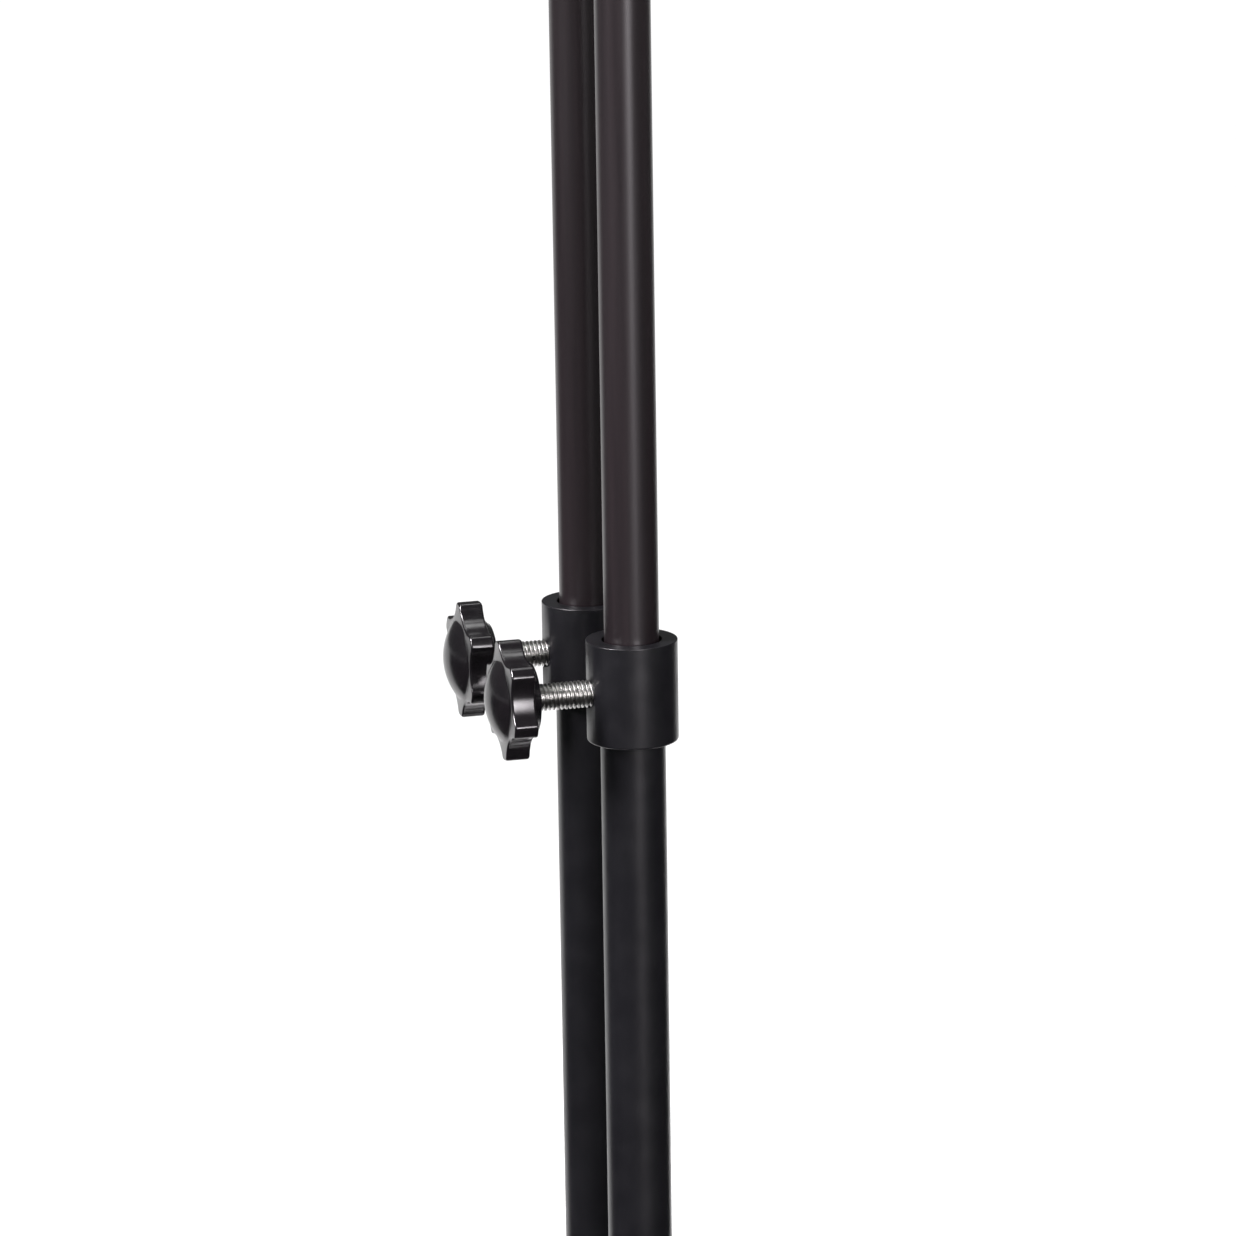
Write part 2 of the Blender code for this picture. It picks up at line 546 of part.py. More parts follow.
def build_head(surfaces):
    depth = 2 * (HEAD_BORE + HEAD_WALL)
    outline = rounded_rectangle(POST_SPACING + depth, depth, depth / 2 - GAP, 6)
    edge = rounded_rectangle(POST_SPACING + depth - 2 * HEAD_EDGE, depth - 2 * HEAD_EDGE,
                             depth / 2 - GAP - HEAD_EDGE, 6)
    head = place("head_block", loft("head_block", [
        level(edge, 0), level(outline, HEAD_EDGE), level(outline, HEAD_HEIGHT - HEAD_EDGE),
        level(edge, HEAD_HEIGHT)]), surfaces["base"], (0, 0, HEAD_BOTTOM))
    screw_height = HEAD_BOTTOM + HEAD_SCREW_RISE
    for side, sign in SIDES:
        x = sign * POST_SPACING / 2
        cut(head, f"head_bore_{side}", rod("hole", HEAD_BORE, -GAP, HEAD_BORE_DEPTH), (x, 0, HEAD_BOTTOM))
        cut(head, f"head_screw_hole_{side}",
            rod("hole", GRUB_SCREW_DIAMETER / 2 + GAP, UPPER_TUBE_RADIUS, depth / 2 + GAP, steps=SMALL_ROUND_STEPS),
            (x, 0, screw_height), TO_REAR)
        place(f"head_screw_{side}", grub_screw(f"head_screw_{side}", HEAD_WALL), surfaces["steel"],
              (x, HEAD_BORE, screw_height), TO_REAR)

    yoke = place("tilt_yoke", channel("tilt_yoke", YOKE_WIDTH / 2, YOKE_WALL, YOKE_DEPTH,
                                      YOKE_HEIGHT + YOKE_DEPTH / 2, YOKE_EAR_ROUND),
                 surfaces["base"], (0, 0, YOKE_BOTTOM))
    cut(yoke, "yoke_bolt_hole", rod("hole", TILT_HOLE_RADIUS, -YOKE_WIDTH, YOKE_WIDTH),
        (0, 0, TILT_AXIS_HEIGHT), ALONG_X)
    screw_seat = YOKE_BOTTOM + YOKE_WALL + GAP
    for end, way in ENDS:
        y = way * YOKE_SCREW_OFFSET
        place(f"yoke_screw_{end}", cap_screw(f"yoke_screw_{end}", SCREW_DIAMETER, SCREW_LENGTH),
              surfaces["steel"], (0, y, screw_seat))
        for obj in (yoke, head):
            cut(obj, f"yoke_screw_hole_{end}_{obj.name}",
                rod("hole", SCREW_DIAMETER / 2 + GAP, -SCREW_LENGTH - GAP, GAP / 2, steps=SMALL_ROUND_STEPS),
                (0, y, screw_seat))


def build_tilt_clamp(surfaces):
    """The dome-head bolt through the tilt joint, with its washers and its knob."""
    axis = pivot("tilt_axis", (0, 0, TILT_AXIS_HEIGHT), ALONG_X)
    washer_start = BRACKET_OUTSIDE + GAP
    knob_start = washer_start + TILT_WASHER_THICKNESS + GAP
    bolt_end = knob_start + KNOB_BORE_DEPTH - GAP
    bolt_start = -BRACKET_OUTSIDE - GAP
    radius = TILT_BOLT_DIAMETER / 2
    dome = [(TILT_BOLT_HEAD_RADIUS * math.cos(a), bolt_start - TILT_BOLT_HEAD_HEIGHT * math.sin(a))
            for a in (math.pi / 2 * i / 4 for i in range(4))]
    place("tilt_bolt", turned("tilt_bolt", [
        (0, bolt_start - TILT_BOLT_HEAD_HEIGHT), *reversed(dome), (radius, bolt_start),
        (radius, bolt_end), (0, bolt_end)]), surfaces["steel"], parent=axis)
    inner = TILT_HOLE_RADIUS
    for side, sign in SIDES:
        middle = sign * (YOKE_WIDTH / 2 + GAP + FRICTION_WASHER_THICKNESS / 2)
        place(f"friction_washer_{side}",
              pipe(f"friction_washer_{side}", FRICTION_WASHER_RADIUS, inner,
                   middle - FRICTION_WASHER_THICKNESS / 2, middle + FRICTION_WASHER_THICKNESS / 2),
              surfaces["nylon"], parent=axis)
    place("tilt_washer", pipe("tilt_washer", TILT_WASHER_RADIUS, inner, washer_start,
                              washer_start + TILT_WASHER_THICKNESS), surfaces["steel"], parent=axis)
    place("tilt_knob", knob("tilt_knob"), surfaces["knob"], (0, 0, knob_start), parent=axis)


def build_desk(surfaces):
    """The desk is built upright about the tilt axis, and its pivot leans it back."""
    axis = pivot("desk_axis", (0, 0, TILT_AXIS_HEIGHT), (-DESK_TILT, 0, 0))
    web_back = -DESK_OFFSET + GAP
    sheet_back, sheet_front = -DESK_OFFSET, -DESK_OFFSET - DESK_SHEET
    bracket = place("desk_bracket", channel("desk_bracket", BRACKET_OUTSIDE, BRACKET_WALL, BRACKET_HEIGHT,
                                            -web_back + BRACKET_EAR_REACH, BRACKET_EAR_ROUND),
                    surfaces["base"], (0, web_back, 0), TO_REAR, axis)
    cut(bracket, "bracket_bolt_hole", rod("hole", TILT_HOLE_RADIUS, -YOKE_WIDTH, YOKE_WIDTH),
        rotation=ALONG_X, parent=axis)

    def tray(inset, y):
        outline = rounded_rectangle(DESK_WIDTH - 2 * inset, DESK_HEIGHT - 2 * inset, DESK_CORNER - inset)
        return [(px, y, pz + DESK_HEIGHT / 2 - DESK_BELOW_AXIS) for px, pz in outline]

    flange_back = sheet_front + DESK_FLANGE
    edge = DESK_SHEET / 2
    panel = place("desk_panel", loft("desk_panel", [
        tray(edge, sheet_front), tray(0, sheet_front + edge), tray(0, flange_back),
        tray(DESK_SHEET, flange_back), tray(DESK_SHEET, sheet_back)]), surfaces["base"], parent=axis)

    shelf_top = -DESK_BELOW_AXIS - GAP
    shelf_bottom = shelf_top - DESK_SHEET
    lip_front = sheet_front - LIP_DEPTH
    profile = [(flange_back, shelf_bottom), (flange_back, shelf_top), (lip_front + DESK_SHEET, shelf_top),
               (lip_front + DESK_SHEET, shelf_top + LIP_UPTURN), (lip_front, shelf_top + LIP_UPTURN),
               (lip_front, shelf_bottom)]
    lip = place("desk_lip", lip_mesh(profile, shelf_top + LIP_UPTURN), surfaces["base"], parent=axis)

    rivet_mesh = rivet("rivet", 2 * DESK_SHEET + 3 * GAP)
    rivet_y = (sheet_back + flange_back) / 2
    reach = LIP_WIDTH / 2 - LIP_RIVET_INSET
    for i in range(LIP_RIVETS):
        spot = (reach * (2 * i / (LIP_RIVETS - 1) - 1), rivet_y)
        place(f"lip_rivet_{i + 1}", rivet_mesh.copy(), surfaces["steel"],
              (*spot, shelf_top + GAP + DESK_SHEET + GAP), parent=axis)
        for obj in (panel, lip):
            cut(obj, f"lip_rivet_hole_{i + 1}_{obj.name}",
                rod("hole", RIVET_HOLE_RADIUS, shelf_bottom - GAP, shelf_top + 2 * DESK_SHEET,
                    steps=SMALL_ROUND_STEPS), (*spot, 0), parent=axis)
    bracket_grip = DESK_SHEET + BRACKET_WALL + 2 * GAP
    rivet_rise = BRACKET_HEIGHT / 2 - BRACKET_RIVET_EDGE
    countersink = [(0, -DESK_SHEET), (RIVET_HOLE_RADIUS, -DESK_SHEET), (RIVET_HEAD_RADIUS + GAP, 0),
                   (RIVET_HEAD_RADIUS + GAP, GAP), (0, GAP)]
    for level_name, up in (("lower", -1), ("upper", 1)):
        for side, sign in SIDES:
            spot = (sign * BRACKET_RIVET_X, sheet_front, up * rivet_rise)
            place(f"bracket_rivet_{level_name}_{side}", countersunk_rivet("bracket_rivet", bracket_grip),
                  surfaces["steel"], spot, TO_FRONT, axis)
            for obj in (panel, bracket):
                cut(obj, f"bracket_rivet_hole_{level_name}_{side}_{obj.name}",
                    rod("hole", RIVET_HOLE_RADIUS, -bracket_grip - GAP, -DESK_SHEET / 2, steps=SMALL_ROUND_STEPS),
                    spot, TO_FRONT, axis)
            cut(panel, f"countersink_{level_name}_{side}", turned("countersink", countersink, SMALL_ROUND_STEPS),
                spot, TO_FRONT, axis)


def lip_mesh(profile, top):
    """The shelf's J profile along X, with the upturn's end corners rounded."""
    bm = bmesh.new()
    loops = [[bm.verts.new((x, y, z)) for y, z in profile] for x in (-LIP_WIDTH / 2, LIP_WIDTH / 2)]
    for i in range(len(profile)):
        bm.faces.new((loops[0][i - 1], loops[0][i], loops[1][i], loops[1][i - 1]))
    for loop in loops:
        bm.faces.new(loop)
    corners = [edge for edge in bm.edges
               if all(abs(v.co.z - top) < TOUCHING for v in edge.verts)
               and abs(edge.verts[0].co.x - edge.verts[1].co.x) < TOUCHING]
    bmesh.ops.bevel(bm, geom=corners, offset=LIP_CORNER, segments=4, profile=0.5, affect="EDGES")
    return finish_mesh("desk_lip", bm)


def build():
    clear_scene()
    surfaces = materials()
    build_base(surfaces)
    for side, sign in SIDES:
        build_post(side, sign, surfaces)
        build_clamp(side, sign, surfaces)
    build_head(surfaces)
    build_tilt_clamp(surfaces)
    build_desk(surfaces)


build()
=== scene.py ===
import json
import math

import bmesh
import bpy
from mathutils import Euler, Matrix, Vector


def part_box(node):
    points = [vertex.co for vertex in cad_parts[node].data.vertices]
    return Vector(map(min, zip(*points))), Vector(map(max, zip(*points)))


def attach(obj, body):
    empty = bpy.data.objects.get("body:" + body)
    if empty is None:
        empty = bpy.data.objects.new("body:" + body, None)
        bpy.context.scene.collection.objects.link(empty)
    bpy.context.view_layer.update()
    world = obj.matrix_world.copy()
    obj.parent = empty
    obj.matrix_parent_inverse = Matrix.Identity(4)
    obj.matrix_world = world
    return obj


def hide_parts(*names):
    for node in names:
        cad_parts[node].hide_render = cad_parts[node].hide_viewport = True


# Music stand with two telescoping posts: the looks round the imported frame.
# Metres, +Z up. The player stands on the -Y side, and the clamp knobs point there.
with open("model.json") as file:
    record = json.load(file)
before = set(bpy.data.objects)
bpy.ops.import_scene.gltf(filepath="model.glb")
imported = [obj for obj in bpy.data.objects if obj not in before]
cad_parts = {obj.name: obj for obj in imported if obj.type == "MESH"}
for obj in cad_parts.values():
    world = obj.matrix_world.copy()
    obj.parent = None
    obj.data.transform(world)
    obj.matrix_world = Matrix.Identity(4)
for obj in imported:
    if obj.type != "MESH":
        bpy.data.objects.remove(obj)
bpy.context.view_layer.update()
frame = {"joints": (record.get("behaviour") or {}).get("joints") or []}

mm = 0.001
mergeDistance = 1e-6
edgeShare = 0.3    # how far along a small rounded edge its middle ring stands
sides = ("left", "right")
ends = ("front", "rear")
pointFront = Matrix.Rotation(math.pi / 2, 4, "X")    # turns +Z to -Y
pointRear = Matrix.Rotation(-math.pi / 2, 4, "X")
pointRight = Matrix.Rotation(math.pi / 2, 4, "Y")    # turns +Z to +X


def linearColour(hexCode):
    # an sRGB code such as "#1a1b1f" as the linear colour that shaders take
    parts = [int(hexCode[i:i + 2], 16) / 255 for i in (1, 3, 5)]
    return (*[c / 12.92 if c <= 0.04045 else ((c + 0.055) / 1.055) ** 2.4 for c in parts], 1)


def addNode(tree, kind, links=None, **settings):
    # links: input name or number -> the socket it comes from, or a plain value
    node = tree.nodes.new(kind)
    for name, value in settings.items():
        setattr(node, name, value)
    for name, value in (links or {}).items():
        if isinstance(value, bpy.types.NodeSocket):
            tree.links.new(value, node.inputs[name])
        else:
            node.inputs[name].default_value = value
    return node


def box(*nodes):
    # the box round several CAD nodes, and its middle
    corners = [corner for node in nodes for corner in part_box(node)]
    low = Vector([min(c[i] for c in corners) for i in range(3)])
    high = Vector([max(c[i] for c in corners) for i in range(3)])
    return low, high, (low + high) / 2


# Outlines
def roundCorners(corners, steps=4, closed=True):
    # corners are (x, y, radius), and each becomes an arc that touches both of its sides
    points = []
    last = len(corners) - 1
    for i, (x, y, radius) in enumerate(corners):
        here = Vector((x, y))
        if radius <= 0 or (not closed and i in (0, last)):
            points.append(here)
            continue
        before = Vector(corners[i - 1][:2]) - here
        after = Vector(corners[(i + 1) % len(corners)][:2]) - here
        half = before.angle(after) / 2
        reach = min(radius / math.tan(half), 0.49 * before.length, 0.49 * after.length)
        fitted = reach * math.tan(half)
        inwards = (before.normalized() + after.normalized()).normalized()
        centre = here + inwards * fitted / math.sin(half)
        spoke = here + before.normalized() * reach - centre
        lastSpoke = here + after.normalized() * reach - centre
        turn = math.atan2(spoke.cross(lastSpoke), spoke.dot(lastSpoke))
        for step in range(steps + 1):
            points.append(centre + Matrix.Rotation(turn * step / steps, 2) @ spoke)
    return points


def roundedBox(width, height, corner, steps=6):
    w, h = width / 2, height / 2
    return roundCorners([(w, -h, corner), (w, h, corner), (-w, h, corner), (-w, -h, corner)], steps)


def quarter(steps):
    # the angles of a quarter turn
    return [math.pi / 2 * i / steps for i in range(steps + 1)]


def ring(size, z, steps):
    return [(size * math.cos(a), size * math.sin(a), z) for a in (math.tau * i / steps for i in range(steps))]


def hexRing(acrossFlats, z, steps):
    # a hexagon with as many points as a ring, so that the two can be joined
    points = []
    for i in range(steps):
        angle = math.tau * i / steps
        size = acrossFlats / 2 / math.cos((angle + math.pi / 6) % (math.pi / 3) - math.pi / 6)
        points.append((size * math.cos(angle), size * math.sin(angle), z))
    return points


# Meshes
def meshFrom(name, bm, sharpAngle=35):
    bmesh.ops.remove_doubles(bm, verts=bm.verts, dist=mergeDistance)
    bmesh.ops.dissolve_degenerate(bm, edges=bm.edges, dist=mergeDistance)
    bmesh.ops.recalc_face_normals(bm, faces=bm.faces)
    mesh = bpy.data.meshes.new(name)
    bm.to_mesh(mesh)
    bm.free()
    mesh.shade_smooth()
    mesh.set_sharp_from_angle(angle=math.radians(sharpAngle))
    return mesh


def bridgeRings(bm, rings, place, closed=False):
    loops = [[bm.verts.new(place @ Vector(point)) for point in points] for points in rings]
    pairs = list(zip(loops, loops[1:]))
    if closed:
        pairs.append((loops[-1], loops[0]))
    for lower, upper in pairs:
        for i in range(len(lower)):
            bm.faces.new((lower[i - 1], lower[i], upper[i], upper[i - 1]))
    return loops


def loft(name, rings, closed=False, place=Matrix()):
    # rings of 3-D points, all with the same number; a closed loft joins its last ring to its first
    bm = bmesh.new()
    loops = bridgeRings(bm, rings, place, closed)
    if not closed:
        bm.faces.new(loops[0])
        bm.faces.new(loops[-1])
    return meshFrom(name, bm)


def turned(name, profile, place=Matrix(), steps=96):
    # spins a closed outline of (radius, height) about Z
    bm = bmesh.new()
    corners = [bm.verts.new((max(radius, 0), 0, height)) for radius, height in profile]
    edges = [bm.edges.new((corners[i - 1], corner)) for i, corner in enumerate(corners)
             if corner.co.x > mergeDistance or corners[i - 1].co.x > mergeDistance]
    bmesh.ops.spin(bm, geom=corners + edges, cent=(0, 0, 0), axis=(0, 0, 1),
                   angle=math.tau, steps=steps, use_merge=True)
    bmesh.ops.transform(bm, matrix=place, verts=bm.verts)
    return meshFrom(name, bm)


def foldedStrip(name, path, halfWidth, thickness, tips, edge, place):
    # a strip of sheet whose middle follows path in the (second, third) axes, with its width along the first
    # tips are the corner radii at the path's two ends
    lengths = [0]
    for a, b in zip(path, path[1:]):
        lengths.append(lengths[-1] + (b - a).length)
    total = lengths[-1]
    stations = set(lengths) | {edge * edgeShare, edge, total - edge * edgeShare, total - edge}
    tipSteps = 8
    for tip, fromEnd in ((tips[0], False), (tips[1], True)):
        for angle in quarter(tipSteps)[1:]:
            reach = tip * (1 - math.cos(angle))
            stations.add(total - reach if fromEnd else reach)
    rings = []
    for station in sorted(stations):
        index = max(i for i, s in enumerate(lengths[:-1]) if s <= station + mergeDistance)
        along = (path[index + 1] - path[index]).normalized()
        point = path[index] + along * (station - lengths[index])
        if abs(station - lengths[index]) < mergeDistance and index:
            along = (along + (path[index] - path[index - 1]).normalized()).normalized()
        across = Vector((-along.y, along.x))
        width = halfWidth
        for tip, distance in ((tips[0], station), (tips[1], total - station)):
            if distance < tip:
                width -= tip - math.sqrt(tip ** 2 - (tip - distance) ** 2)
        inset = max(edge - min(station, total - station), 0) * (1 - edgeShare)
        section = roundedBox(2 * (width - inset), thickness - 2 * inset, edge, 3)
        rings.append([(v, *(point + across * n)) for v, n in section])
    return loft(name, rings, place=place)


def settle(obj):
    # applies the modifiers, and keeps flat faces flat beside their rounded edges
    flat = obj.modifiers.new("flatFaces", "WEIGHTED_NORMAL")
    flat.keep_sharp = True
    evaluated = obj.evaluated_get(bpy.context.evaluated_depsgraph_get())
    result = bpy.data.meshes.new_from_object(evaluated)
    obj.modifiers.clear()
    old = obj.data
    obj.data = result
    result.name = obj.name
    bpy.data.meshes.remove(old)


def newObject(name, data, finish=None):
    obj = bpy.data.objects.new(name, data)
    bpy.context.scene.collection.objects.link(obj)
    if finish:
        data.materials.clear()
        data.materials.append(finish)
    return obj


def drill(obj, radius, start, end, place):
    # cuts a round hole along the placed Z axis
    cutter = newObject("cutter", turned("cutter", [(0, start), (radius, start), (radius, end), (0, end)],
                                        place, steps=48))
    hole = obj.modifiers.new("hole", "BOOLEAN")
    hole.operation = "DIFFERENCE"
    hole.solver = "EXACT"
    hole.object = cutter
    settle(obj)
    bpy.data.objects.remove(cutter)


def fit(obj, body, slot, *nodes):
    # hands a finished piece to the frame
    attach(obj, body)
    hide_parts(*nodes)
    return obj


def piece(name, mesh, finish, body, slot, *nodes):
    obj = newObject(name, mesh, finish)
    settle(obj)
    return fit(obj, body, slot, *nodes)


# Geometry Nodes
def newTree(name, inputs):
    tree = bpy.data.node_groups.new(name, "GeometryNodeTree")
    for socket, kind in inputs.items():
        tree.interface.new_socket(socket, in_out="INPUT", socket_type="NodeSocket" + kind)
    tree.interface.new_socket("Mesh", in_out="OUTPUT", socket_type="NodeSocketGeometry")
    return tree, addNode(tree, "NodeGroupInput").outputs


def closeTree(tree, geometry, finish):
    real = addNode(tree, "GeometryNodeRealizeInstances", {0: geometry})
    coated = addNode(tree, "GeometryNodeSetMaterial", {"Geometry": real.outputs[0], "Material": finish})
    addNode(tree, "NodeGroupOutput", {0: coated.outputs[0]})


def growMesh(name, tree, values, start=None):
    # runs a tree with its named inputs on a mesh, and returns the plain result
    obj = newObject(name, start or bpy.data.meshes.new(name))
    modifier = obj.modifiers.new(name, "NODES")
    modifier.node_group = tree
    for item in tree.interface.items_tree:
        if item.item_type == "SOCKET" and item.in_out == "INPUT" and item.name in values:
            modifier[item.identifier] = values[item.name]
    evaluated = obj.evaluated_get(bpy.context.evaluated_depsgraph_get())
    result = bpy.data.meshes.new_from_object(evaluated)
    bpy.data.objects.remove(obj)
    return result


# sets copies of one piece at places, each turned as its place says and spun a little at random
copies, given = newTree("copiesInPlaces", {"Places": "Geometry", "Piece": "Object", "Largest spin": "Float",
                                           "Seed": "Int", "Finish": "Material"})
source = addNode(copies, "GeometryNodeObjectInfo", {"Object": given["Piece"]})
facing = addNode(copies, "GeometryNodeInputNamedAttribute", {"Name": "facing"}, data_type="FLOAT_VECTOR")
turn = addNode(copies, "FunctionNodeEulerToRotation", {0: facing.outputs["Attribute"]})
chance = addNode(copies, "FunctionNodeRandomValue",
                 {"Max": given["Largest spin"], "Seed": given["Seed"]}, data_type="FLOAT")
spin = addNode(copies, "FunctionNodeAxisAngleToRotation", {"Axis": (0, 0, 1), "Angle": chance.outputs["Value"]})
turnAndSpin = addNode(copies, "FunctionNodeRotateRotation",
                      {"Rotation": turn.outputs[0], "Rotate By": spin.outputs[0]}, rotation_space="LOCAL")
laid = addNode(copies, "GeometryNodeInstanceOnPoints",
               {"Points": given["Places"], "Instance": source.outputs["Geometry"],
                "Rotation": turnAndSpin.outputs[0]})
closeTree(copies, laid.outputs[0], given["Finish"])

# cuts a screw thread along a rod: its radius falls from crest to root once every pitch and turns with the helix
thread, given = newTree("screwThread", {"Rod": "Geometry", "Length": "Float", "Radius": "Float", "Pitch": "Float",
                                        "Depth": "Float", "Chamfer": "Float", "Around": "Int", "Rows": "Int",
                                        "Finish": "Material"})


def reckon(operation, first, second=0.0, third=0.0):
    return addNode(thread, "ShaderNodeMath", {0: first, 1: second, 2: third}, operation=operation).outputs[0]


rod = addNode(thread, "GeometryNodeMeshCylinder",
              {"Vertices": given["Around"], "Side Segments": given["Rows"], "Radius": given["Radius"],
               "Depth": given["Length"]}, fill_type="TRIANGLE_FAN")
where = addNode(thread, "ShaderNodeSeparateXYZ", {0: addNode(thread, "GeometryNodeInputPosition").outputs[0]})
x, y, z = where.outputs
turns = reckon("DIVIDE", reckon("ARCTAN2", y, x), math.tau)
phase = reckon("FRACT", reckon("SUBTRACT", reckon("DIVIDE", z, given["Pitch"]), turns))
flank = reckon("MULTIPLY", reckon("ABSOLUTE", reckon("SUBTRACT", phase, 0.5)), 2.0)
hollow = addNode(thread, "ShaderNodeMapRange", {"Value": flank, "From Min": 0.12, "From Max": 0.90},
                 interpolation_type="SMOOTHERSTEP").outputs[0]
cutRadius = reckon("SUBTRACT", given["Radius"], reckon("MULTIPLY", hollow, given["Depth"]))
fromEnd = reckon("SUBTRACT", reckon("MULTIPLY", given["Length"], 0.5), reckon("ABSOLUTE", z))
taper = reckon("ADD", reckon("SUBTRACT", given["Radius"], given["Chamfer"]), fromEnd)
share = reckon("DIVIDE", reckon("MINIMUM", cutRadius, taper), given["Radius"])
moved = addNode(thread, "ShaderNodeCombineXYZ", {0: reckon("MULTIPLY", x, share), 1: reckon("MULTIPLY", y, share),
                                                 2: z})
threaded = addNode(thread, "GeometryNodeSetPosition", {"Geometry": rod.outputs["Mesh"],
                                                       "Position": moved.outputs[0]})
smooth = addNode(thread, "GeometryNodeSetShadeSmooth", {0: threaded.outputs[0]})
closeTree(thread, smooth.outputs[0], given["Finish"])


def setCopies(name, mesh, places, finish, body, slot, *nodes, spin=0.0, seed=0):
    # places are matrices, one for each copy
    master = newObject(name + "Master", mesh, finish)
    settle(master)
    points = bpy.data.meshes.new(name + "Places")
    points.from_pydata([place.to_translation() for place in places], [], [])
    facing = points.attributes.new("facing", "FLOAT_VECTOR", "POINT")
    for i, place in enumerate(places):
        facing.data[i].vector = place.to_euler()
    result = growMesh(name, copies, {"Piece": master, "Largest spin": spin, "Seed": seed, "Finish": finish}, points)
    bpy.data.objects.remove(master)
    return fit(newObject(name, result), body, slot, *nodes)


print("helpers ready")


# Finishes. Each has two tones in patches, a roughness that drifts, and a surface with a broad and a fine height.
def makeFinish(name, look):
    finish = bpy.data.materials.new(name)
    finish.use_nodes = True
    tree = finish.node_tree
    shader = tree.nodes["Principled BSDF"]
    shader.inputs["Metallic"].default_value = look.get("metallic", 0.0)
    if "ior" in look:
        shader.inputs["IOR"].default_value = look["ior"]
    if "coat" in look:
        shader.inputs["Coat Weight"].default_value, shader.inputs["Coat Roughness"].default_value = look["coat"]
    place = addNode(tree, "ShaderNodeTexCoord").outputs["Object"]
    stretched = addNode(tree, "ShaderNodeMapping", {"Vector": place, "Scale": look.get("stretch", (1, 1, 1))})
    patches = addNode(tree, "ShaderNodeTexNoise",
                      {"Vector": stretched.outputs[0], "Scale": 1 / look["patch"], "Detail": 4.0, "Roughness": 0.55})
    tone = addNode(tree, "ShaderNodeMapRange", {"Value": patches.outputs["Fac"], "From Min": 0.32, "From Max": 0.68})
    colour = addNode(tree, "ShaderNodeMix", {"Factor": tone.outputs[0], 6: linearColour(look["dark"]),
                                             7: linearColour(look["light"])}, data_type="RGBA")
    tree.links.new(colour.outputs[2], shader.inputs["Base Color"])
    drift = addNode(tree, "ShaderNodeTexNoise",
                    {"Vector": stretched.outputs[0], "Scale": 1 / look["drift"], "Detail": 3.0})
    low, high = look["roughness"]
    roughness = addNode(tree, "ShaderNodeMapRange", {"Value": drift.outputs["Fac"], "From Min": 0.3,
                                                     "From Max": 0.7, "To Min": low, "To Max": high})
    tree.links.new(roughness.outputs[0], shader.inputs["Roughness"])
    broadSize, broadHeight = look["broad"]
    fineSize, fineHeight = look["fine"]
    broad = addNode(tree, "ShaderNodeTexNoise", {"Vector": stretched.outputs[0], "Scale": 1 / broadSize,
                                                 "Detail": 1.0})
    fine = addNode(tree, "ShaderNodeTexNoise", {"Vector": place, "Scale": 1 / fineSize, "Detail": 2.0})
    rolling = addNode(tree, "ShaderNodeBump", {"Height": broad.outputs["Fac"], "Distance": broadHeight})
    grain = addNode(tree, "ShaderNodeBump", {"Height": fine.outputs["Fac"], "Distance": fineHeight,
                                             "Normal": rolling.outputs[0]})
    tree.links.new(grain.outputs[0], shader.inputs["Normal"])
    return finish


# satin black powder coat on steel: soft broad highlights, a faint orange peel and a cool black
powderCoat = makeFinish("powderCoatOnSteel", {
    "dark": "#0b0b0e", "light": "#0f0f12", "patch": 18 * mm, "drift": 9 * mm, "roughness": (0.31, 0.37),
    "broad": (1.8 * mm, 0.010 * mm), "fine": (0.45 * mm, 0.004 * mm), "ior": 1.5})

# satin enamel on drawn tube: a warmer black, smoother, with long faint lines where the die drew the steel
satinEnamel = makeFinish("satinEnamelOnDrawnTube", {
    "dark": "#141012", "light": "#1a1517", "patch": 3 * mm, "drift": 2.5 * mm, "stretch": (1, 1, 0.03),
    "roughness": (0.30, 0.36), "broad": (1.2 * mm, 0.005 * mm), "fine": (0.5 * mm, 0.003 * mm), "ior": 1.5})

# fine-textured powder coat on the desk's sheet: a dry matt black that hides fingerprints
deskCoat = makeFinish("texturedPowderCoatOnSheet", {
    "dark": "#0b0b0d", "light": "#0f0f11", "patch": 14 * mm, "drift": 5 * mm, "roughness": (0.62, 0.69),
    "broad": (1.0 * mm, 0.018 * mm), "fine": (0.4 * mm, 0.006 * mm), "ior": 1.42})

# injection-moulded nylon, polished mould: gloss black with slow flow waves
knobPlastic = makeFinish("mouldedGlossNylon", {
    "dark": "#0a090b", "light": "#0f0d0f", "patch": 9 * mm, "drift": 5 * mm, "roughness": (0.17, 0.24),
    "broad": (5 * mm, 0.02 * mm), "fine": (0.4 * mm, 0.0012 * mm), "ior": 1.53})

# moulded polythene end caps and tube plugs: dull black with a spark-eroded grain
capPlastic = makeFinish("mouldedPolythene", {
    "dark": "#1a1a1c", "light": "#222224", "patch": 8 * mm, "drift": 4 * mm, "roughness": (0.52, 0.62),
    "broad": (3 * mm, 0.02 * mm), "fine": (0.35 * mm, 0.012 * mm), "ior": 1.51})

# bright zinc plate over machined steel: a pale grey metal, slightly mottled where the bath passivated it
zincPlate = makeFinish("brightZincPlate", {
    "dark": "#8f8f8c", "light": "#ababa8", "patch": 2.5 * mm, "drift": 2.0 * mm, "roughness": (0.26, 0.34),
    "broad": (2.5 * mm, 0.004 * mm), "fine": (0.5 * mm, 0.001 * mm), "metallic": 1.0})

# moulded rubber feet: the dullest black on the stand
rubber = makeFinish("mouldedRubber", {
    "dark": "#151515", "light": "#1d1d1c", "patch": 5 * mm, "drift": 3 * mm, "roughness": (0.72, 0.85),
    "broad": (2 * mm, 0.03 * mm), "fine": (0.4 * mm, 0.02 * mm), "ior": 1.52})

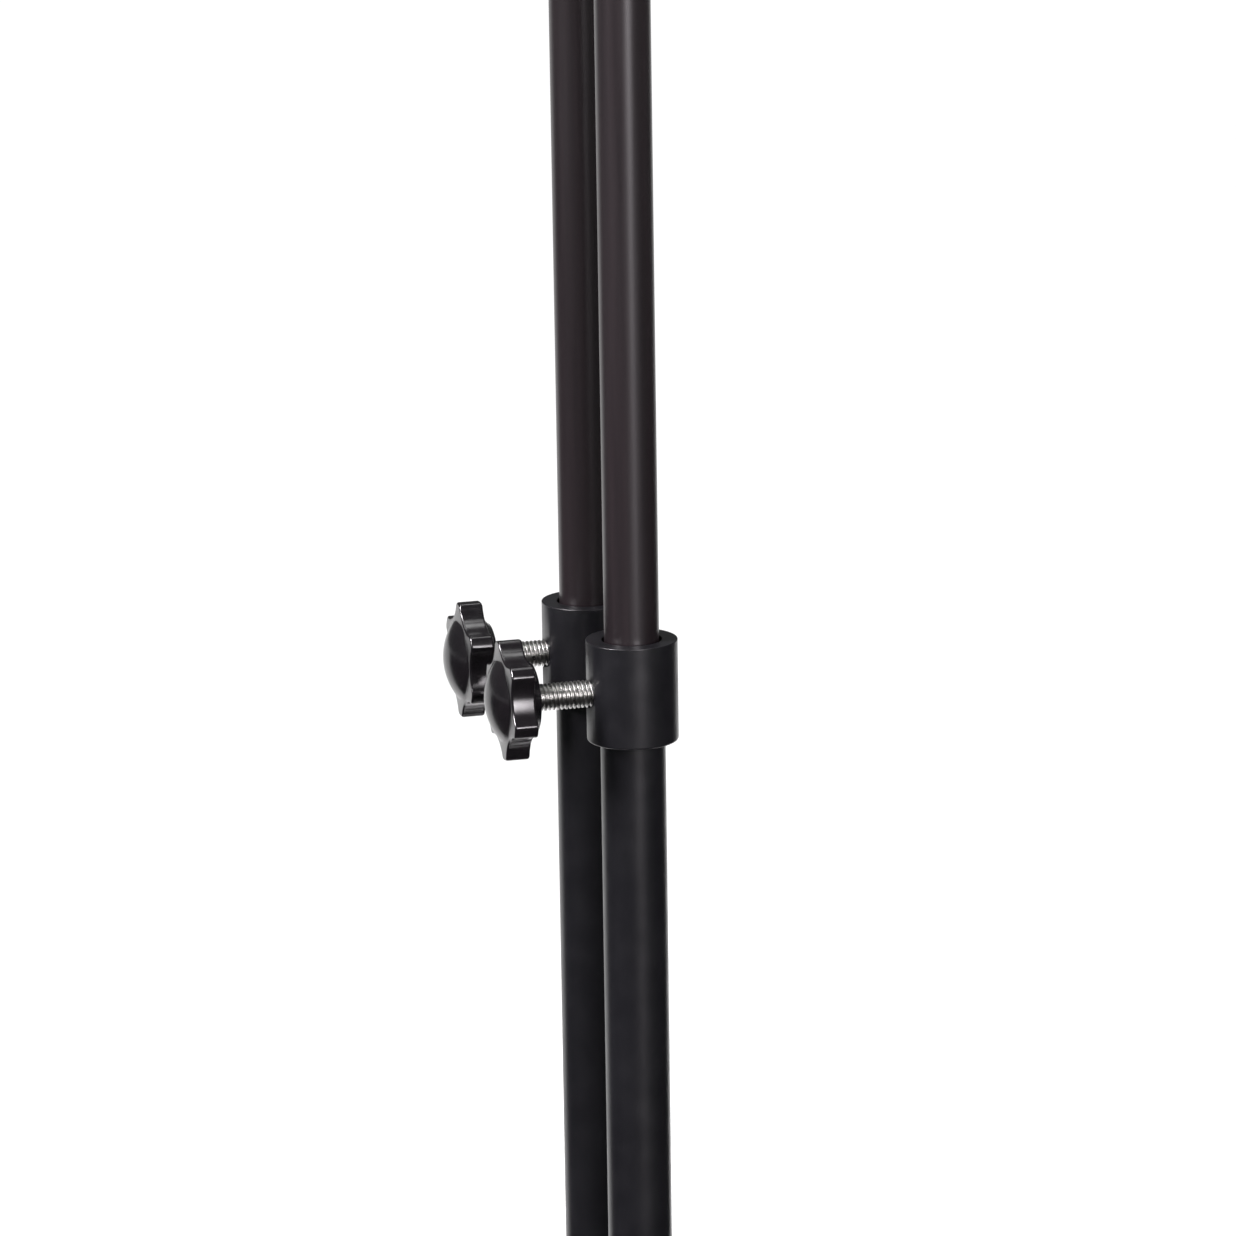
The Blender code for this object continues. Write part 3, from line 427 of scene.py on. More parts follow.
# natural nylon washers and clamp pads: milky cream
naturalNylon = makeFinish("naturalNylon", {
    "dark": "#c9c2ae", "light": "#dcd6c4", "patch": 4 * mm, "drift": 3 * mm, "roughness": (0.42, 0.52),
    "broad": (2 * mm, 0.01 * mm), "fine": (0.3 * mm, 0.003 * mm), "ior": 1.53})
print("finishes ready")


# Posts
tubeLook = {"upperWall": 1.2 * mm, "lowerWall": 1.2 * mm, "edge": 0.3 * mm, "steps": 128}


def tubeMesh(name, low, high, middle, wall):
    radius = (high.x - low.x) / 2
    edge = tubeLook["edge"]
    profile = roundCorners([(radius - wall, low.z, edge), (radius, low.z, edge),
                            (radius, high.z, edge), (radius - wall, high.z, edge)], 3)
    return turned(name, profile, Matrix.Translation((middle.x, middle.y, 0)), tubeLook["steps"])


collarLook = {"topEdge": 0.2 * mm, "bottomEdge": 0.7 * mm, "mouthEdge": 0.3 * mm, "mouthPlay": 0.7 * mm,
              "mouthHeight": 6 * mm, "boreGap": 0.3 * mm, "steps": 128}
socketLook = {"flangeThickness": 3 * mm, "flangeRim": 4.5 * mm, "flangeFoot": 0.4 * mm, "flangeEdge": 0.8 * mm,
              "weld": 2.2 * mm, "topEdge": 0.8 * mm, "mouthEdge": 0.3 * mm, "floor": 2 * mm, "gap": 0.3 * mm}
padLook = {"edge": 0.3 * mm, "steps": 48}
plugLook = {"flange": 2 * mm, "spigotWall": 1.5 * mm, "edge": 0.4 * mm}
grubLook = {"radius": 2.5 * mm, "key": 2.5 * mm, "depth": 2 * mm, "edge": 0.25 * mm, "steps": 36}
studLook = {"pitch": 1.25 * mm, "depth": 0.72 * mm, "chamfer": 0.9 * mm, "around": 72, "rowsInPitch": 12,
            "holeGap": 0.3 * mm}


def threadedRod(name, radius, length):
    rows = round(length / studLook["pitch"] * studLook["rowsInPitch"])
    return growMesh(name, thread, {
        "Length": length, "Radius": radius, "Pitch": studLook["pitch"], "Depth": studLook["depth"],
        "Chamfer": studLook["chamfer"], "Around": studLook["around"], "Rows": rows, "Finish": zincPlate})


for side in sides:
    low, high, middle = box(f"upper_tube_{side}")
    upperRadius = (high.x - low.x) / 2
    piece(f"upperTube_{side}", tubeMesh("upperTube", low, high, middle, tubeLook["upperWall"]),
          satinEnamel, "mast", "satin_enamel", f"upper_tube_{side}")

    axis = Matrix.Translation((middle.x, middle.y, 0))
    plugLow, plugHigh, _ = box(f"tube_plug_{side}")
    spigot = upperRadius - plugLook["spigotWall"]
    piece(f"tubePlug_{side}", turned("tubePlug", roundCorners([
        (0, plugLow.z, 0), (upperRadius, plugLow.z, plugLook["edge"]),
        (upperRadius, plugLow.z + plugLook["flange"], plugLook["edge"]),
        (spigot, plugLow.z + plugLook["flange"], 0), (spigot, plugHigh.z, plugLook["edge"]), (0, plugHigh.z, 0)]),
        axis), capPlastic, "mast", "cap_plastic", f"tube_plug_{side}")

    studLow, studHigh, studMiddle = box(f"clamp_stud_{side}")
    studAxis = Matrix.Translation((studMiddle.x, 0, studMiddle.z)) @ pointFront
    studRadius = (studHigh.x - studLow.x) / 2
    holeRadius = studRadius + studLook["holeGap"]

    low, high, middle = box(f"lower_tube_{side}")
    lowerRadius = (high.x - low.x) / 2
    lower = newObject(f"lowerTube_{side}", tubeMesh("lowerTube", low, high, middle, tubeLook["lowerWall"]),
                      powderCoat)
    drill(lower, holeRadius, upperRadius, lowerRadius + mm, studAxis)
    fit(lower, "base", "powder_coat", f"lower_tube_{side}")

    low, high, middle = box(f"collar_{side}")
    radius = (high.x - low.x) / 2
    bore = lowerRadius + collarLook["boreGap"]
    mouth = upperRadius + collarLook["mouthPlay"]
    shoulder = high.z - collarLook["mouthHeight"]
    collar = newObject(f"collar_{side}", turned("collar", roundCorners([
        (bore, low.z, collarLook["mouthEdge"]), (radius, low.z, collarLook["bottomEdge"]),
        (radius, high.z, collarLook["topEdge"]), (mouth, high.z, collarLook["mouthEdge"]),
        (mouth, shoulder, 0), (bore, shoulder, 0)]), axis, collarLook["steps"]), powderCoat)
    drill(collar, holeRadius, upperRadius, radius + mm, studAxis)
    fit(collar, "base", "powder_coat", f"collar_{side}")

    low, high, middle = box(f"post_socket_{side}")
    flange = (high.x - low.x) / 2
    outside = flange - socketLook["flangeRim"]
    flangeTop = low.z + socketLook["flangeThickness"]
    bore = lowerRadius + socketLook["gap"]
    piece(f"postSocket_{side}", turned("postSocket", roundCorners([
        (0, low.z, 0), (flange, low.z, socketLook["flangeFoot"]), (flange, flangeTop, socketLook["flangeEdge"]),
        (outside, flangeTop, socketLook["weld"]), (outside, high.z, socketLook["topEdge"]),
        (bore, high.z, socketLook["mouthEdge"]), (bore, low.z + socketLook["floor"], 0),
        (0, low.z + socketLook["floor"], 0)]),
        axis), powderCoat, "base", "powder_coat", f"post_socket_{side}")

    # the stud's thread runs its whole length and ends inside the knob
    length = studHigh.y - studLow.y
    mesh = threadedRod("clampStud", studRadius, length)
    mesh.transform(Matrix.Translation((0, studMiddle.y, 0)) @ studAxis)
    fit(newObject(f"clampStud_{side}", mesh), f"clamp_{side}", "zinc_plate", f"clamp_stud_{side}")

    low, high, _ = box(f"clamp_pad_{side}")
    radius = (high.x - low.x) / 2
    piece(f"clampPad_{side}", turned("clampPad", roundCorners([
        (0, -high.y, 0), (radius, -high.y, padLook["edge"]), (radius, -low.y, padLook["edge"]), (0, -low.y, 0)]),
        studAxis, padLook["steps"]), naturalNylon, f"clamp_travel_{side}", "nylon", f"clamp_pad_{side}")
print("posts ready")

# Star knobs: six narrow lobes with round finger hollows between them, and a domed face
knobLook = {"turned": {"left": 0, "right": 11}, "lobes": 6, "tipAngle": 13, "valleyRadius": 13.5 * mm,
            "soften": 0.55 * mm, "aroundLobe": 26, "bossHeight": 2.6 * mm, "bossEndRadius": 10.4 * mm,
            "bossEdge": 0.5 * mm, "bossRadius": 12.5 * mm, "bossTop": 0.3 * mm, "backBlend": 0.12,
            "backStep": 0.08 * mm, "backEdge": 0.7 * mm, "rim": 7.1 * mm, "faceEdge": 0.7 * mm,
            "domeRadius": 12.2 * mm, "edgeSteps": 4, "domeSteps": 14, "sharpAngle": 40}


def knobOutline(radius):
    # the radius in each direction: the round hollow where it lies inside the lobe's circle, blended at the corners
    look = knobLook
    lobeAngle = math.tau / look["lobes"]
    halfValley = (lobeAngle - math.radians(look["tipAngle"])) / 2
    cornerX, cornerY = radius * math.cos(halfValley), radius * math.sin(halfValley)
    depth = cornerX - look["valleyRadius"]
    hollowRadius = (cornerY ** 2 + depth ** 2) / (2 * depth)
    hollowCentre = look["valleyRadius"] + hollowRadius
    outline = []
    count = look["aroundLobe"] * look["lobes"]
    for i in range(count):
        angle = math.tau * i / count
        fromValley = (angle - math.pi / 2) % lobeAngle - lobeAngle / 2
        side = hollowCentre * math.sin(fromValley)
        reach = hollowRadius ** 2 - side ** 2
        hollow = hollowCentre * math.cos(fromValley) - math.sqrt(reach) if reach > 0 else 2 * radius
        soft = look["soften"]
        share = max(soft - abs(hollow - radius), 0) / soft
        outline.append((angle, min(hollow, radius) - share ** 2 * soft / 4))
    return outline


def knobMesh(name, radius, depth, place):
    look = knobLook
    outline = knobOutline(radius)
    back = look["bossHeight"]
    face = back + look["rim"]
    crown = depth - face
    sphere = (look["domeRadius"] ** 2 + crown ** 2) / (2 * crown)
    halfAngle = math.asin(look["domeRadius"] / sphere)

    def star(inset, height):
        return [((r - inset) * math.cos(a), (r - inset) * math.sin(a), height) for a, r in outline]

    def disc(size, height):
        return [(size * math.cos(a), size * math.sin(a), height) for a, _ in outline]

    def blend(share, size, inset, height):
        return [(*(Vector(p[:2]).lerp(Vector(q[:2]), share)), height)
                for p, q in zip(disc(size, height), star(inset, height))]

    edge = look["bossEdge"]
    rings = [disc(look["bossEndRadius"] - edge, 0), disc(look["bossEndRadius"] - edgeShare * edge, edgeShare * edge),
             disc(look["bossEndRadius"], edge), disc(look["bossRadius"], back - look["bossTop"]),
             blend(look["backBlend"], look["bossRadius"], look["backEdge"], back - look["backStep"])]
    edge = look["backEdge"]
    for angle in quarter(look["edgeSteps"]):
        rings.append(star(edge * (1 - math.sin(angle)), back + edge * (1 - math.cos(angle))))
    edge = look["faceEdge"]
    for angle in quarter(look["edgeSteps"]):
        rings.append(star(edge * (1 - math.cos(angle)), face - edge * (1 - math.sin(angle))))
    for step in range(look["domeSteps"]):
        angle = halfAngle * (1 - step / look["domeSteps"])
        rings.append(disc(sphere * math.sin(angle), face + sphere * (math.cos(angle) - math.cos(halfAngle))))
    bm = bmesh.new()
    loops = bridgeRings(bm, rings, place)
    bm.faces.new(loops[0])
    pole = bm.verts.new(place @ Vector((0, 0, depth)))
    for i in range(len(loops[-1])):
        bm.faces.new((loops[-1][i - 1], loops[-1][i], pole))
    return meshFrom(name, bm, look["sharpAngle"])


# the left knob has a lobe straight up, so its height is its diameter
low, high, _ = box("clamp_knob_left")
radius = (high.z - low.z) / 2
for side in sides:
    low, high, middle = box(f"clamp_knob_{side}")
    place = (Matrix.Translation((middle.x, high.y, middle.z)) @ pointFront
             @ Matrix.Rotation(math.radians(knobLook["turned"][side]), 4, "Z"))
    piece(f"clampKnob_{side}", knobMesh("clampKnob", radius, high.y - low.y, place), knobPlastic,
          f"clamp_{side}", "knob_plastic", f"clamp_knob_{side}")
low, high, middle = box("tilt_knob")
piece("tiltKnob", knobMesh("tiltKnob", (high.z - low.z) / 2, high.x - low.x,
                           Matrix.Translation((low.x, middle.y, middle.z)) @ pointRight),
      knobPlastic, "tilt_clamp", "knob_plastic", "tilt_knob")
print("knobs ready")

# Base
railLook = {"corner": 3 * mm, "wall": 1.5 * mm, "edge": 0.3 * mm}
capLook = {"thickness": 3 * mm, "edge": 1.1 * mm, "plug": 12 * mm, "fit": 1.8 * mm, "edgeSteps": 5}
footLook = {"rim": 1 * mm, "floorEdge": 0.5 * mm, "bevel": 1.5 * mm, "edge": 0.8 * mm, "steps": 64}
# shares of a screw's diameter
boltLook = {"head": 0.80, "key": 0.70, "headEdge": 0.07, "socketFloor": 0.45, "keyBevel": 0.05}
screwLook = {"pointWidth": 0.8, "pointHeight": 0.2, "keyMouth": 0.62, "steps": 48}   # shares of a radius or a key


def railMesh(name, length, width, height, place):
    wall, corner, edge = railLook["wall"], railLook["corner"], railLook["edge"]
    rings = []
    for z, inset in ((-length / 2, edge), (-length / 2 + edge, 0), (length / 2 - edge, 0), (length / 2, edge),
                     (length / 2, wall), (-length / 2, wall)):
        section = roundedBox(width - 2 * inset, height - 2 * inset, corner - inset, 8)
        rings.append([(p.x, p.y, z) for p in section])
    return loft(name, rings, closed=True, place=place)


low, high, middle = box("base_crossbar")
railHeight = high.z - low.z
piece("crossbar", railMesh("crossbar", high.x - low.x, high.y - low.y, railHeight,
                           Matrix.Translation(middle) @ Euler((math.pi / 2, 0, math.pi / 2)).to_matrix().to_4x4()),
      powderCoat, "base", "powder_coat", "base_crossbar")
for side in sides:
    low, high, middle = box(f"foot_rail_{side}")
    railWidth = high.x - low.x
    piece(f"footRail_{side}", railMesh("footRail", high.y - low.y, railWidth, railHeight,
                                       Matrix.Translation(middle) @ pointFront),
          powderCoat, "base", "powder_coat", f"foot_rail_{side}")


def capMesh():
    rings = []
    smaller = capLook["fit"]
    body = roundedBox(railWidth - 2 * smaller, railHeight - 2 * smaller, railLook["corner"] / 2, 8)
    rings += [[(p.x, p.y, z) for p in body] for z in (-capLook["plug"], 0)]
    edge, thickness = capLook["edge"], capLook["thickness"]
    rings.append([(p.x, p.y, 0) for p in roundedBox(railWidth, railHeight, railLook["corner"], 8)])
    for angle in quarter(capLook["edgeSteps"]):
        inset = edge * (1 - math.cos(angle))
        section = roundedBox(railWidth - 2 * inset, railHeight - 2 * inset, railLook["corner"] - inset, 8)
        rings.append([(p.x, p.y, thickness - edge + edge * math.sin(angle)) for p in section])
    return loft("cap", rings)


capPlaces, capNodes = [], []
for side, way in zip(sides, (-1, 1)):
    low, high, middle = box(f"crossbar_end_cap_{side}")
    inner = high.x - capLook["thickness"] if way > 0 else low.x + capLook["thickness"]
    turn = Euler((math.pi / 2, 0, way * math.pi / 2)).to_matrix().to_4x4()
    capPlaces.append(Matrix.Translation((inner, middle.y, middle.z)) @ turn)
    capNodes.append(f"crossbar_end_cap_{side}")
    for end, forward in zip(ends, (-1, 1)):
        low, high, middle = box(f"rail_end_cap_{end}_{side}")
        inner = high.y - capLook["thickness"] if forward > 0 else low.y + capLook["thickness"]
        capPlaces.append(Matrix.Translation((middle.x, inner, middle.z)) @ (pointRear if forward > 0 else pointFront))
        capNodes.append(f"rail_end_cap_{end}_{side}")
setCopies("endCaps", capMesh(), capPlaces, capPlastic, "base", "cap_plastic", *capNodes)

padNodes = [f"foot_pad_{end}_{side}" for end in ends for side in sides]
low, high, _ = box(padNodes[0])
padRadius, padHeight = (high.x - low.x) / 2, high.z - low.z
footPad = turned("footPad", roundCorners([
    (0, 0, 0), (padRadius - footLook["rim"], 0, footLook["floorEdge"]),
    (padRadius, footLook["bevel"], footLook["edge"]), (padRadius, padHeight, footLook["edge"]),
    (0, padHeight, 0)]), steps=footLook["steps"])
setCopies("footPads", footPad, [Matrix.Translation((*box(node)[2].xy, 0)) for node in padNodes],
          rubber, "base", "rubber", *padNodes)


def socketScrew(name, diameter, length):
    # a socket-head screw: its head stands on z = 0 and its shank points down; the key socket is a real hexagon
    radius, headRadius = diameter / 2, boltLook["head"] * diameter
    edge, floor = boltLook["headEdge"] * diameter, boltLook["socketFloor"] * diameter
    key, steps = boltLook["key"] * diameter, screwLook["steps"]
    return loft(name, [
        ring(radius * screwLook["pointWidth"], -length, steps),
        ring(radius, -length + radius * screwLook["pointHeight"], steps),
        ring(radius, 0, steps), ring(headRadius, 0, steps), ring(headRadius, diameter - edge, steps),
        ring(headRadius - edgeShare * edge, diameter - edgeShare * edge, steps),
        ring(headRadius - edge, diameter, steps), ring(key * screwLook["keyMouth"], diameter, steps),
        hexRing(key, diameter - boltLook["keyBevel"] * diameter, steps), hexRing(key, floor, steps)])


boltNodes = [f"base_bolt_{end}_{side}" for end in ends for side in sides]
low, high, _ = box(boltNodes[0])
boltDiameter = (high.x - low.x) / (2 * boltLook["head"])
headSeat = high.z - boltDiameter
setCopies("baseBolts", socketScrew("baseBolt", boltDiameter, headSeat - low.z),
          [Matrix.Translation((*box(node)[2].xy, headSeat)) for node in boltNodes],
          zincPlate, "base", "zinc_plate", *boltNodes, spin=math.pi / 3, seed=4)


def grubScrew(name, length):
    # a headless screw from z = 0 up, with its key socket at the top
    radius, key, depth, edge, steps = (grubLook[k] for k in ("radius", "key", "depth", "edge", "steps"))
    return loft(name, [
        ring(radius * screwLook["pointWidth"], 0, steps), ring(radius, radius * screwLook["pointHeight"], steps),
        ring(radius, length - edge, steps), ring(radius - edge, length, steps),
        ring(key * screwLook["keyMouth"], length, steps), hexRing(key, length - edge / 2, steps),
        hexRing(key, length - depth, steps)])


for name, node, body in (("socketScrews", "socket_screw", "base"), ("headScrews", "head_screw", "mast")):
    nodes = [f"{node}_{side}" for side in sides]
    low, high, _ = box(nodes[0])
    places = [Matrix.Translation((box(n)[2].x, low.y, box(n)[2].z)) @ pointRear for n in nodes]
    setCopies(name, grubScrew(name, high.y - low.y), places, zincPlate, body, "zinc_plate", *nodes,
              spin=math.pi / 3, seed=7)
print("base ready")

# Head and tilt joint
headLook = {"edge": 1.6 * mm, "edgeSteps": 5, "roundness": 0.98}    # the share of its depth that its ends round
tiltLook = {"boltRadius": 4 * mm, "headGap": 0.3 * mm, "headRim": 0.3 * mm, "threadRun": 4 * mm, "domeSteps": 10}
yokeLook = {"wall": 3 * mm, "earRound": 12 * mm, "bend": 3.2 * mm, "edge": 0.5 * mm, "holeGap": 0.3 * mm}
washerLook = {"hole": 4.3 * mm, "edge": 0.25 * mm}

low, high, middle = box("head_block")
rings = []
width, depth = high.x - low.x, high.y - low.y
for level, way in ((low.z, 1), (high.z, -1)):
    for angle in quarter(headLook["edgeSteps"]):
        if way < 0:
            angle = math.pi / 2 - angle
        inset = headLook["edge"] * (1 - math.sin(angle))
        section = roundedBox(width - 2 * inset, depth - 2 * inset, depth / 2 * headLook["roundness"] - inset, 16)
        rings.append([(p.x, p.y, level + way * headLook["edge"] * (1 - math.cos(angle))) for p in section])
piece("headBlock", loft("headBlock", rings, place=Matrix.Translation((middle.x, middle.y, 0))),
      powderCoat, "mast", "powder_coat", "head_block")

low, high, middle = box("tilt_bolt")
tiltAxis = Matrix.Translation((0, middle.y, middle.z)) @ pointRight
boltRadius = tiltLook["boltRadius"]
headRadius = (high.z - low.z) / 2
_, bracketHigh, _ = box("desk_bracket")
headSeat = -bracketHigh.x - tiltLook["headGap"]
rimEnd = headSeat - tiltLook["headRim"]
plainEnd = bracketHigh.x - tiltLook["threadRun"]
dome = [(headRadius * math.cos(a), rimEnd - (rimEnd - low.x) * math.sin(a)) for a in quarter(tiltLook["domeSteps"])]
shank = turned("tiltBolt", [(0, low.x), *reversed(dome[:-1]), (headRadius, headSeat), (boltRadius, headSeat),
                            (boltRadius, plainEnd), (0, plainEnd)], tiltAxis)
tiltBolt = newObject("tiltBolt", shank, zincPlate)
threadMesh = threadedRod("tiltThread", boltRadius, high.x - plainEnd)
threadMesh.transform(tiltAxis @ Matrix.Translation((0, 0, (high.x + plainEnd) / 2)))
joined = bmesh.new()
for part in (shank, threadMesh):
    joined.from_mesh(part)
joined.to_mesh(shank)
joined.free()
fit(tiltBolt, "mast", "zinc_plate", "tilt_bolt")


def washer(name, node, finish, body, slot):
    low, high, _ = box(node)
    radius, edge = (high.z - low.z) / 2, washerLook["edge"]
    profile = roundCorners([(washerLook["hole"], low.x, edge), (radius, low.x, edge), (radius, high.x, edge),
                            (washerLook["hole"], high.x, edge)], 3)
    piece(name, turned(name, profile, tiltAxis, 64), finish, body, slot, node)


for side in sides:
    washer(f"frictionWasher_{side}", f"friction_washer_{side}", naturalNylon, "mast", "nylon")
washer("tiltWasher", "tilt_washer", zincPlate, "tilt_travel", "zinc_plate")

low, high, middle = box("tilt_yoke")
wall = yokeLook["wall"]
earX = high.x - wall / 2
webZ = low.z + wall / 2
path = roundCorners([(-earX, high.z, 0), (-earX, webZ, yokeLook["bend"]), (earX, webZ, yokeLook["bend"]),
                     (earX, high.z, 0)], 6, closed=False)
acrossY = Matrix(((0, 1, 0, 0), (1, 0, 0, 0), (0, 0, 1, 0), (0, 0, 0, 1)))   # width on Y, path in X and Z
yoke = newObject("tiltYoke", foldedStrip("tiltYoke", path, (high.y - low.y) / 2, wall,
                                         (yokeLook["earRound"],) * 2, yokeLook["edge"], acrossY), powderCoat)
drill(yoke, boltRadius + yokeLook["holeGap"], -2 * earX, 2 * earX, tiltAxis)
fit(yoke, "mast", "powder_coat", "tilt_yoke")

screwNodes = [f"yoke_screw_{end}" for end in ends]
low, high, _ = box(screwNodes[0])
screwDiameter = (high.x - low.x) / (2 * boltLook["head"])
setCopies("yokeScrews", socketScrew("yokeScrew", screwDiameter, high.z - screwDiameter - low.z),
          [Matrix.Translation((*box(node)[2].xy, high.z - screwDiameter)) for node in screwNodes],
          zincPlate, "mast", "zinc_plate", *screwNodes, spin=math.pi / 3, seed=2)
print("head ready")

# Desk, upright about its tilt axis and then leaned back
deskLook = {"width": 500 * mm, "height": 340 * mm, "below": 135 * mm, "offset": 36 * mm, "sheet": 1.5 * mm,
            "flange": 12 * mm, "corner": 18 * mm, "bend": 2.5 * mm, "innerBend": 1.0 * mm, "edge": 0.3 * mm,
            "lean": 25, "bendSteps": 6, "innerSteps": 5}
bracketLook = {"wall": 3 * mm, "height": 64 * mm, "halfWidth": 24.6 * mm, "reach": 11 * mm, "earRound": 24 * mm,
               "bend": 3.2 * mm, "edge": 0.5 * mm, "gap": 0.3 * mm}
lipLook = {"depth": 48 * mm, "upturn": 14 * mm, "inset": 26 * mm, "corner": 8 * mm, "backCorner": 1.5 * mm,
           "bend": 2.6 * mm, "edge": 0.35 * mm, "gap": 0.3 * mm}
rivetLook = {"radius": 3.8 * mm, "height": 1.4 * mm, "shank": 2 * mm, "tail": 3.0 * mm, "tailHeight": 0.7 * mm,
             "lipReach": 189 * mm, "bracketX": 14 * mm, "bracketRise": 24 * mm, "steps": 48, "edge": 0.2 * mm,
             "proud": 0.1 * mm, "domeSteps": 10}

pivot = Vector(next(j for j in frame["joints"] if j["name"] == "desk_tilt")["pos_m"])
leaned = Matrix.Translation(pivot) @ Matrix.Rotation(-math.radians(deskLook["lean"]), 4, "X")
sheetBack = -deskLook["offset"]
sheetFront = sheetBack - deskLook["sheet"]
flangeBack = sheetFront + deskLook["flange"]


def trayRing(inset, y):
    section = roundedBox(deskLook["width"] - 2 * inset, deskLook["height"] - 2 * inset,
                         deskLook["corner"] - inset, 10)
    middle = deskLook["height"] / 2 - deskLook["below"]
    return [(p.x, y, p.y + middle) for p in section]


rings = []
bend, innerBend, edge, sheet = (deskLook[k] for k in ("bend", "innerBend", "edge", "sheet"))
for angle in quarter(deskLook["bendSteps"]):
    rings.append(trayRing(bend * (1 - math.sin(angle)), sheetFront + bend * (1 - math.cos(angle))))
rings += [trayRing(0, flangeBack - edge), trayRing(edgeShare * edge, flangeBack - edgeShare * edge),
          trayRing(edge, flangeBack), trayRing(sheet - edge, flangeBack), trayRing(sheet, flangeBack - edge)]
for angle in quarter(deskLook["innerSteps"]):
    rings.append(trayRing(sheet + innerBend * (1 - math.cos(angle)), sheetBack + innerBend * (1 - math.sin(angle))))
piece("deskPanel", loft("deskPanel", rings, place=leaned), deskCoat, "desk", "desk_coat", "desk_panel")

wall = bracketLook["wall"]
earX = bracketLook["halfWidth"] - wall / 2
webY = sheetBack + bracketLook["gap"] + wall / 2
path = roundCorners([(-earX, bracketLook["reach"], 0), (-earX, webY, bracketLook["bend"]),
                     (earX, webY, bracketLook["bend"]), (earX, bracketLook["reach"], 0)], 6, closed=False)
acrossZ = Matrix(((0, 1, 0, 0), (0, 0, 1, 0), (1, 0, 0, 0), (0, 0, 0, 1)))   # width on Z, path in X and Y
bracket = newObject("deskBracket", foldedStrip("deskBracket", path, bracketLook["height"] / 2, wall,
                                               (bracketLook["earRound"],) * 2, bracketLook["edge"],
                                               leaned @ acrossZ), powderCoat)
drill(bracket, boltRadius + yokeLook["holeGap"], -2 * earX, 2 * earX, tiltAxis)
fit(bracket, "desk", "powder_coat", "desk_bracket")

shelfZ = -deskLook["below"] - lipLook["gap"] - sheet / 2
frontY = sheetFront - lipLook["depth"] + sheet / 2
path = roundCorners([(flangeBack, shelfZ, 0), (frontY, shelfZ, lipLook["bend"]),
                     (frontY, shelfZ + sheet / 2 + lipLook["upturn"], 0)], 6, closed=False)
piece("deskLip", foldedStrip("deskLip", path, deskLook["width"] / 2 - lipLook["inset"], sheet,
                             (lipLook["backCorner"], lipLook["corner"]), lipLook["edge"], leaned),
      deskCoat, "desk", "desk_coat", "desk_lip")


def rivetMesh(name, grip, countersunk):
    look = rivetLook
    if countersunk:
        head = [(look["shank"], -sheet), (look["radius"], -look["proud"]), (look["radius"] - look["edge"], 0), (0, 0)]
    else:
        head = [(look["shank"], 0)] + [(look["radius"] * math.cos(a), look["height"] * math.sin(a))
                                       for a in quarter(look["domeSteps"])]
    tail = -grip - look["tailHeight"]
    edge = look["edge"]
    return turned(name, [(0, tail), (look["tail"] - edge, tail), (look["tail"], tail + edge),
                         (look["tail"], -grip), (look["shank"], -grip), *head], steps=look["steps"])


rivetZ = shelfZ + sheet / 2 + sheet + 2 * lipLook["gap"]
spots = [leaned @ Matrix.Translation((rivetLook["lipReach"] * (2 * i / 3 - 1), (sheetBack + flangeBack) / 2, rivetZ))
         for i in range(4)]
setCopies("lipRivets", rivetMesh("lipRivet", 2 * sheet + 3 * lipLook["gap"], False), spots, zincPlate,
          "desk", "zinc_plate", *[f"lip_rivet_{i + 1}" for i in range(4)])
spots, nodes = [], []
for level, up in (("lower", -1), ("upper", 1)):
    for side, way in zip(sides, (-1, 1)):
        spots.append(leaned @ Matrix.Translation((way * rivetLook["bracketX"], sheetFront,
                                                  up * rivetLook["bracketRise"])) @ pointFront)
        nodes.append(f"bracket_rivet_{level}_{side}")
setCopies("bracketRivets", rivetMesh("bracketRivet", sheet + wall + 2 * bracketLook["gap"], True), spots,
          zincPlate, "desk", "zinc_plate", *nodes)
print("desk ready")

# Studio: a pale floor under a broad top light
studio = {"floorRadius": 12.0, "roomSeen": 1.05, "roomGlow": 0.10, "topLight": 3.5, "topAngle": 50,
          "topTilt": (8, -6, 0), "boxColour": (1.0, 0.95, 0.99), "boxSpread": 50, "aimHeight": 0.75,
          "flagFrom": -125, "flagTo": 140, "flagInner": 0.12, "flagOuter": 8.0, "flagHeight": 0.01, "flagSteps": 48}
# two tall soft boxes, and how each stands to the camera: its bearing is to the right where it is positive
softBoxes = {"leftBox": {"bearing": -61, "distance": 1.7, "height": 2.05, "size": (0.30, 1.2), "watts": 15.0},
             "rightBox": {"bearing": 21, "distance": 2.2, "height": 1.33, "size": (0.60, 1.7), "watts": 7.8}}


def studioCloth(name, dark, light, noise, roughness):
    # two close tones, matt: pale paper for the floor, and felt that swallows the light that falls on it
    cloth = bpy.data.materials.new(name)
    cloth.use_nodes = True
    tree = cloth.node_tree
    shader = tree.nodes["Principled BSDF"]
    cloud = addNode(tree, "ShaderNodeTexNoise", {"Vector": addNode(tree, "ShaderNodeTexCoord").outputs["Object"],
                                                 **noise})
    tint = addNode(tree, "ShaderNodeMix", {"Factor": cloud.outputs["Fac"], 6: linearColour(dark),
                                           7: linearColour(light)}, data_type="RGBA")
    tree.links.new(tint.outputs[2], shader.inputs["Base Color"])
    shader.inputs["Roughness"].default_value = roughness
    return cloth


floorBm = bmesh.new()
bmesh.ops.create_circle(floorBm, cap_ends=True, segments=96, radius=studio["floorRadius"])
floor = newObject("studioFloor", meshFrom("studioFloor", floorBm))
paper = studioCloth("seamlessPaper", "#f0f0f0", "#f5f5f5", {"Scale": 3.0, "Detail": 3.0}, 0.9)
floor.data.materials.append(paper)

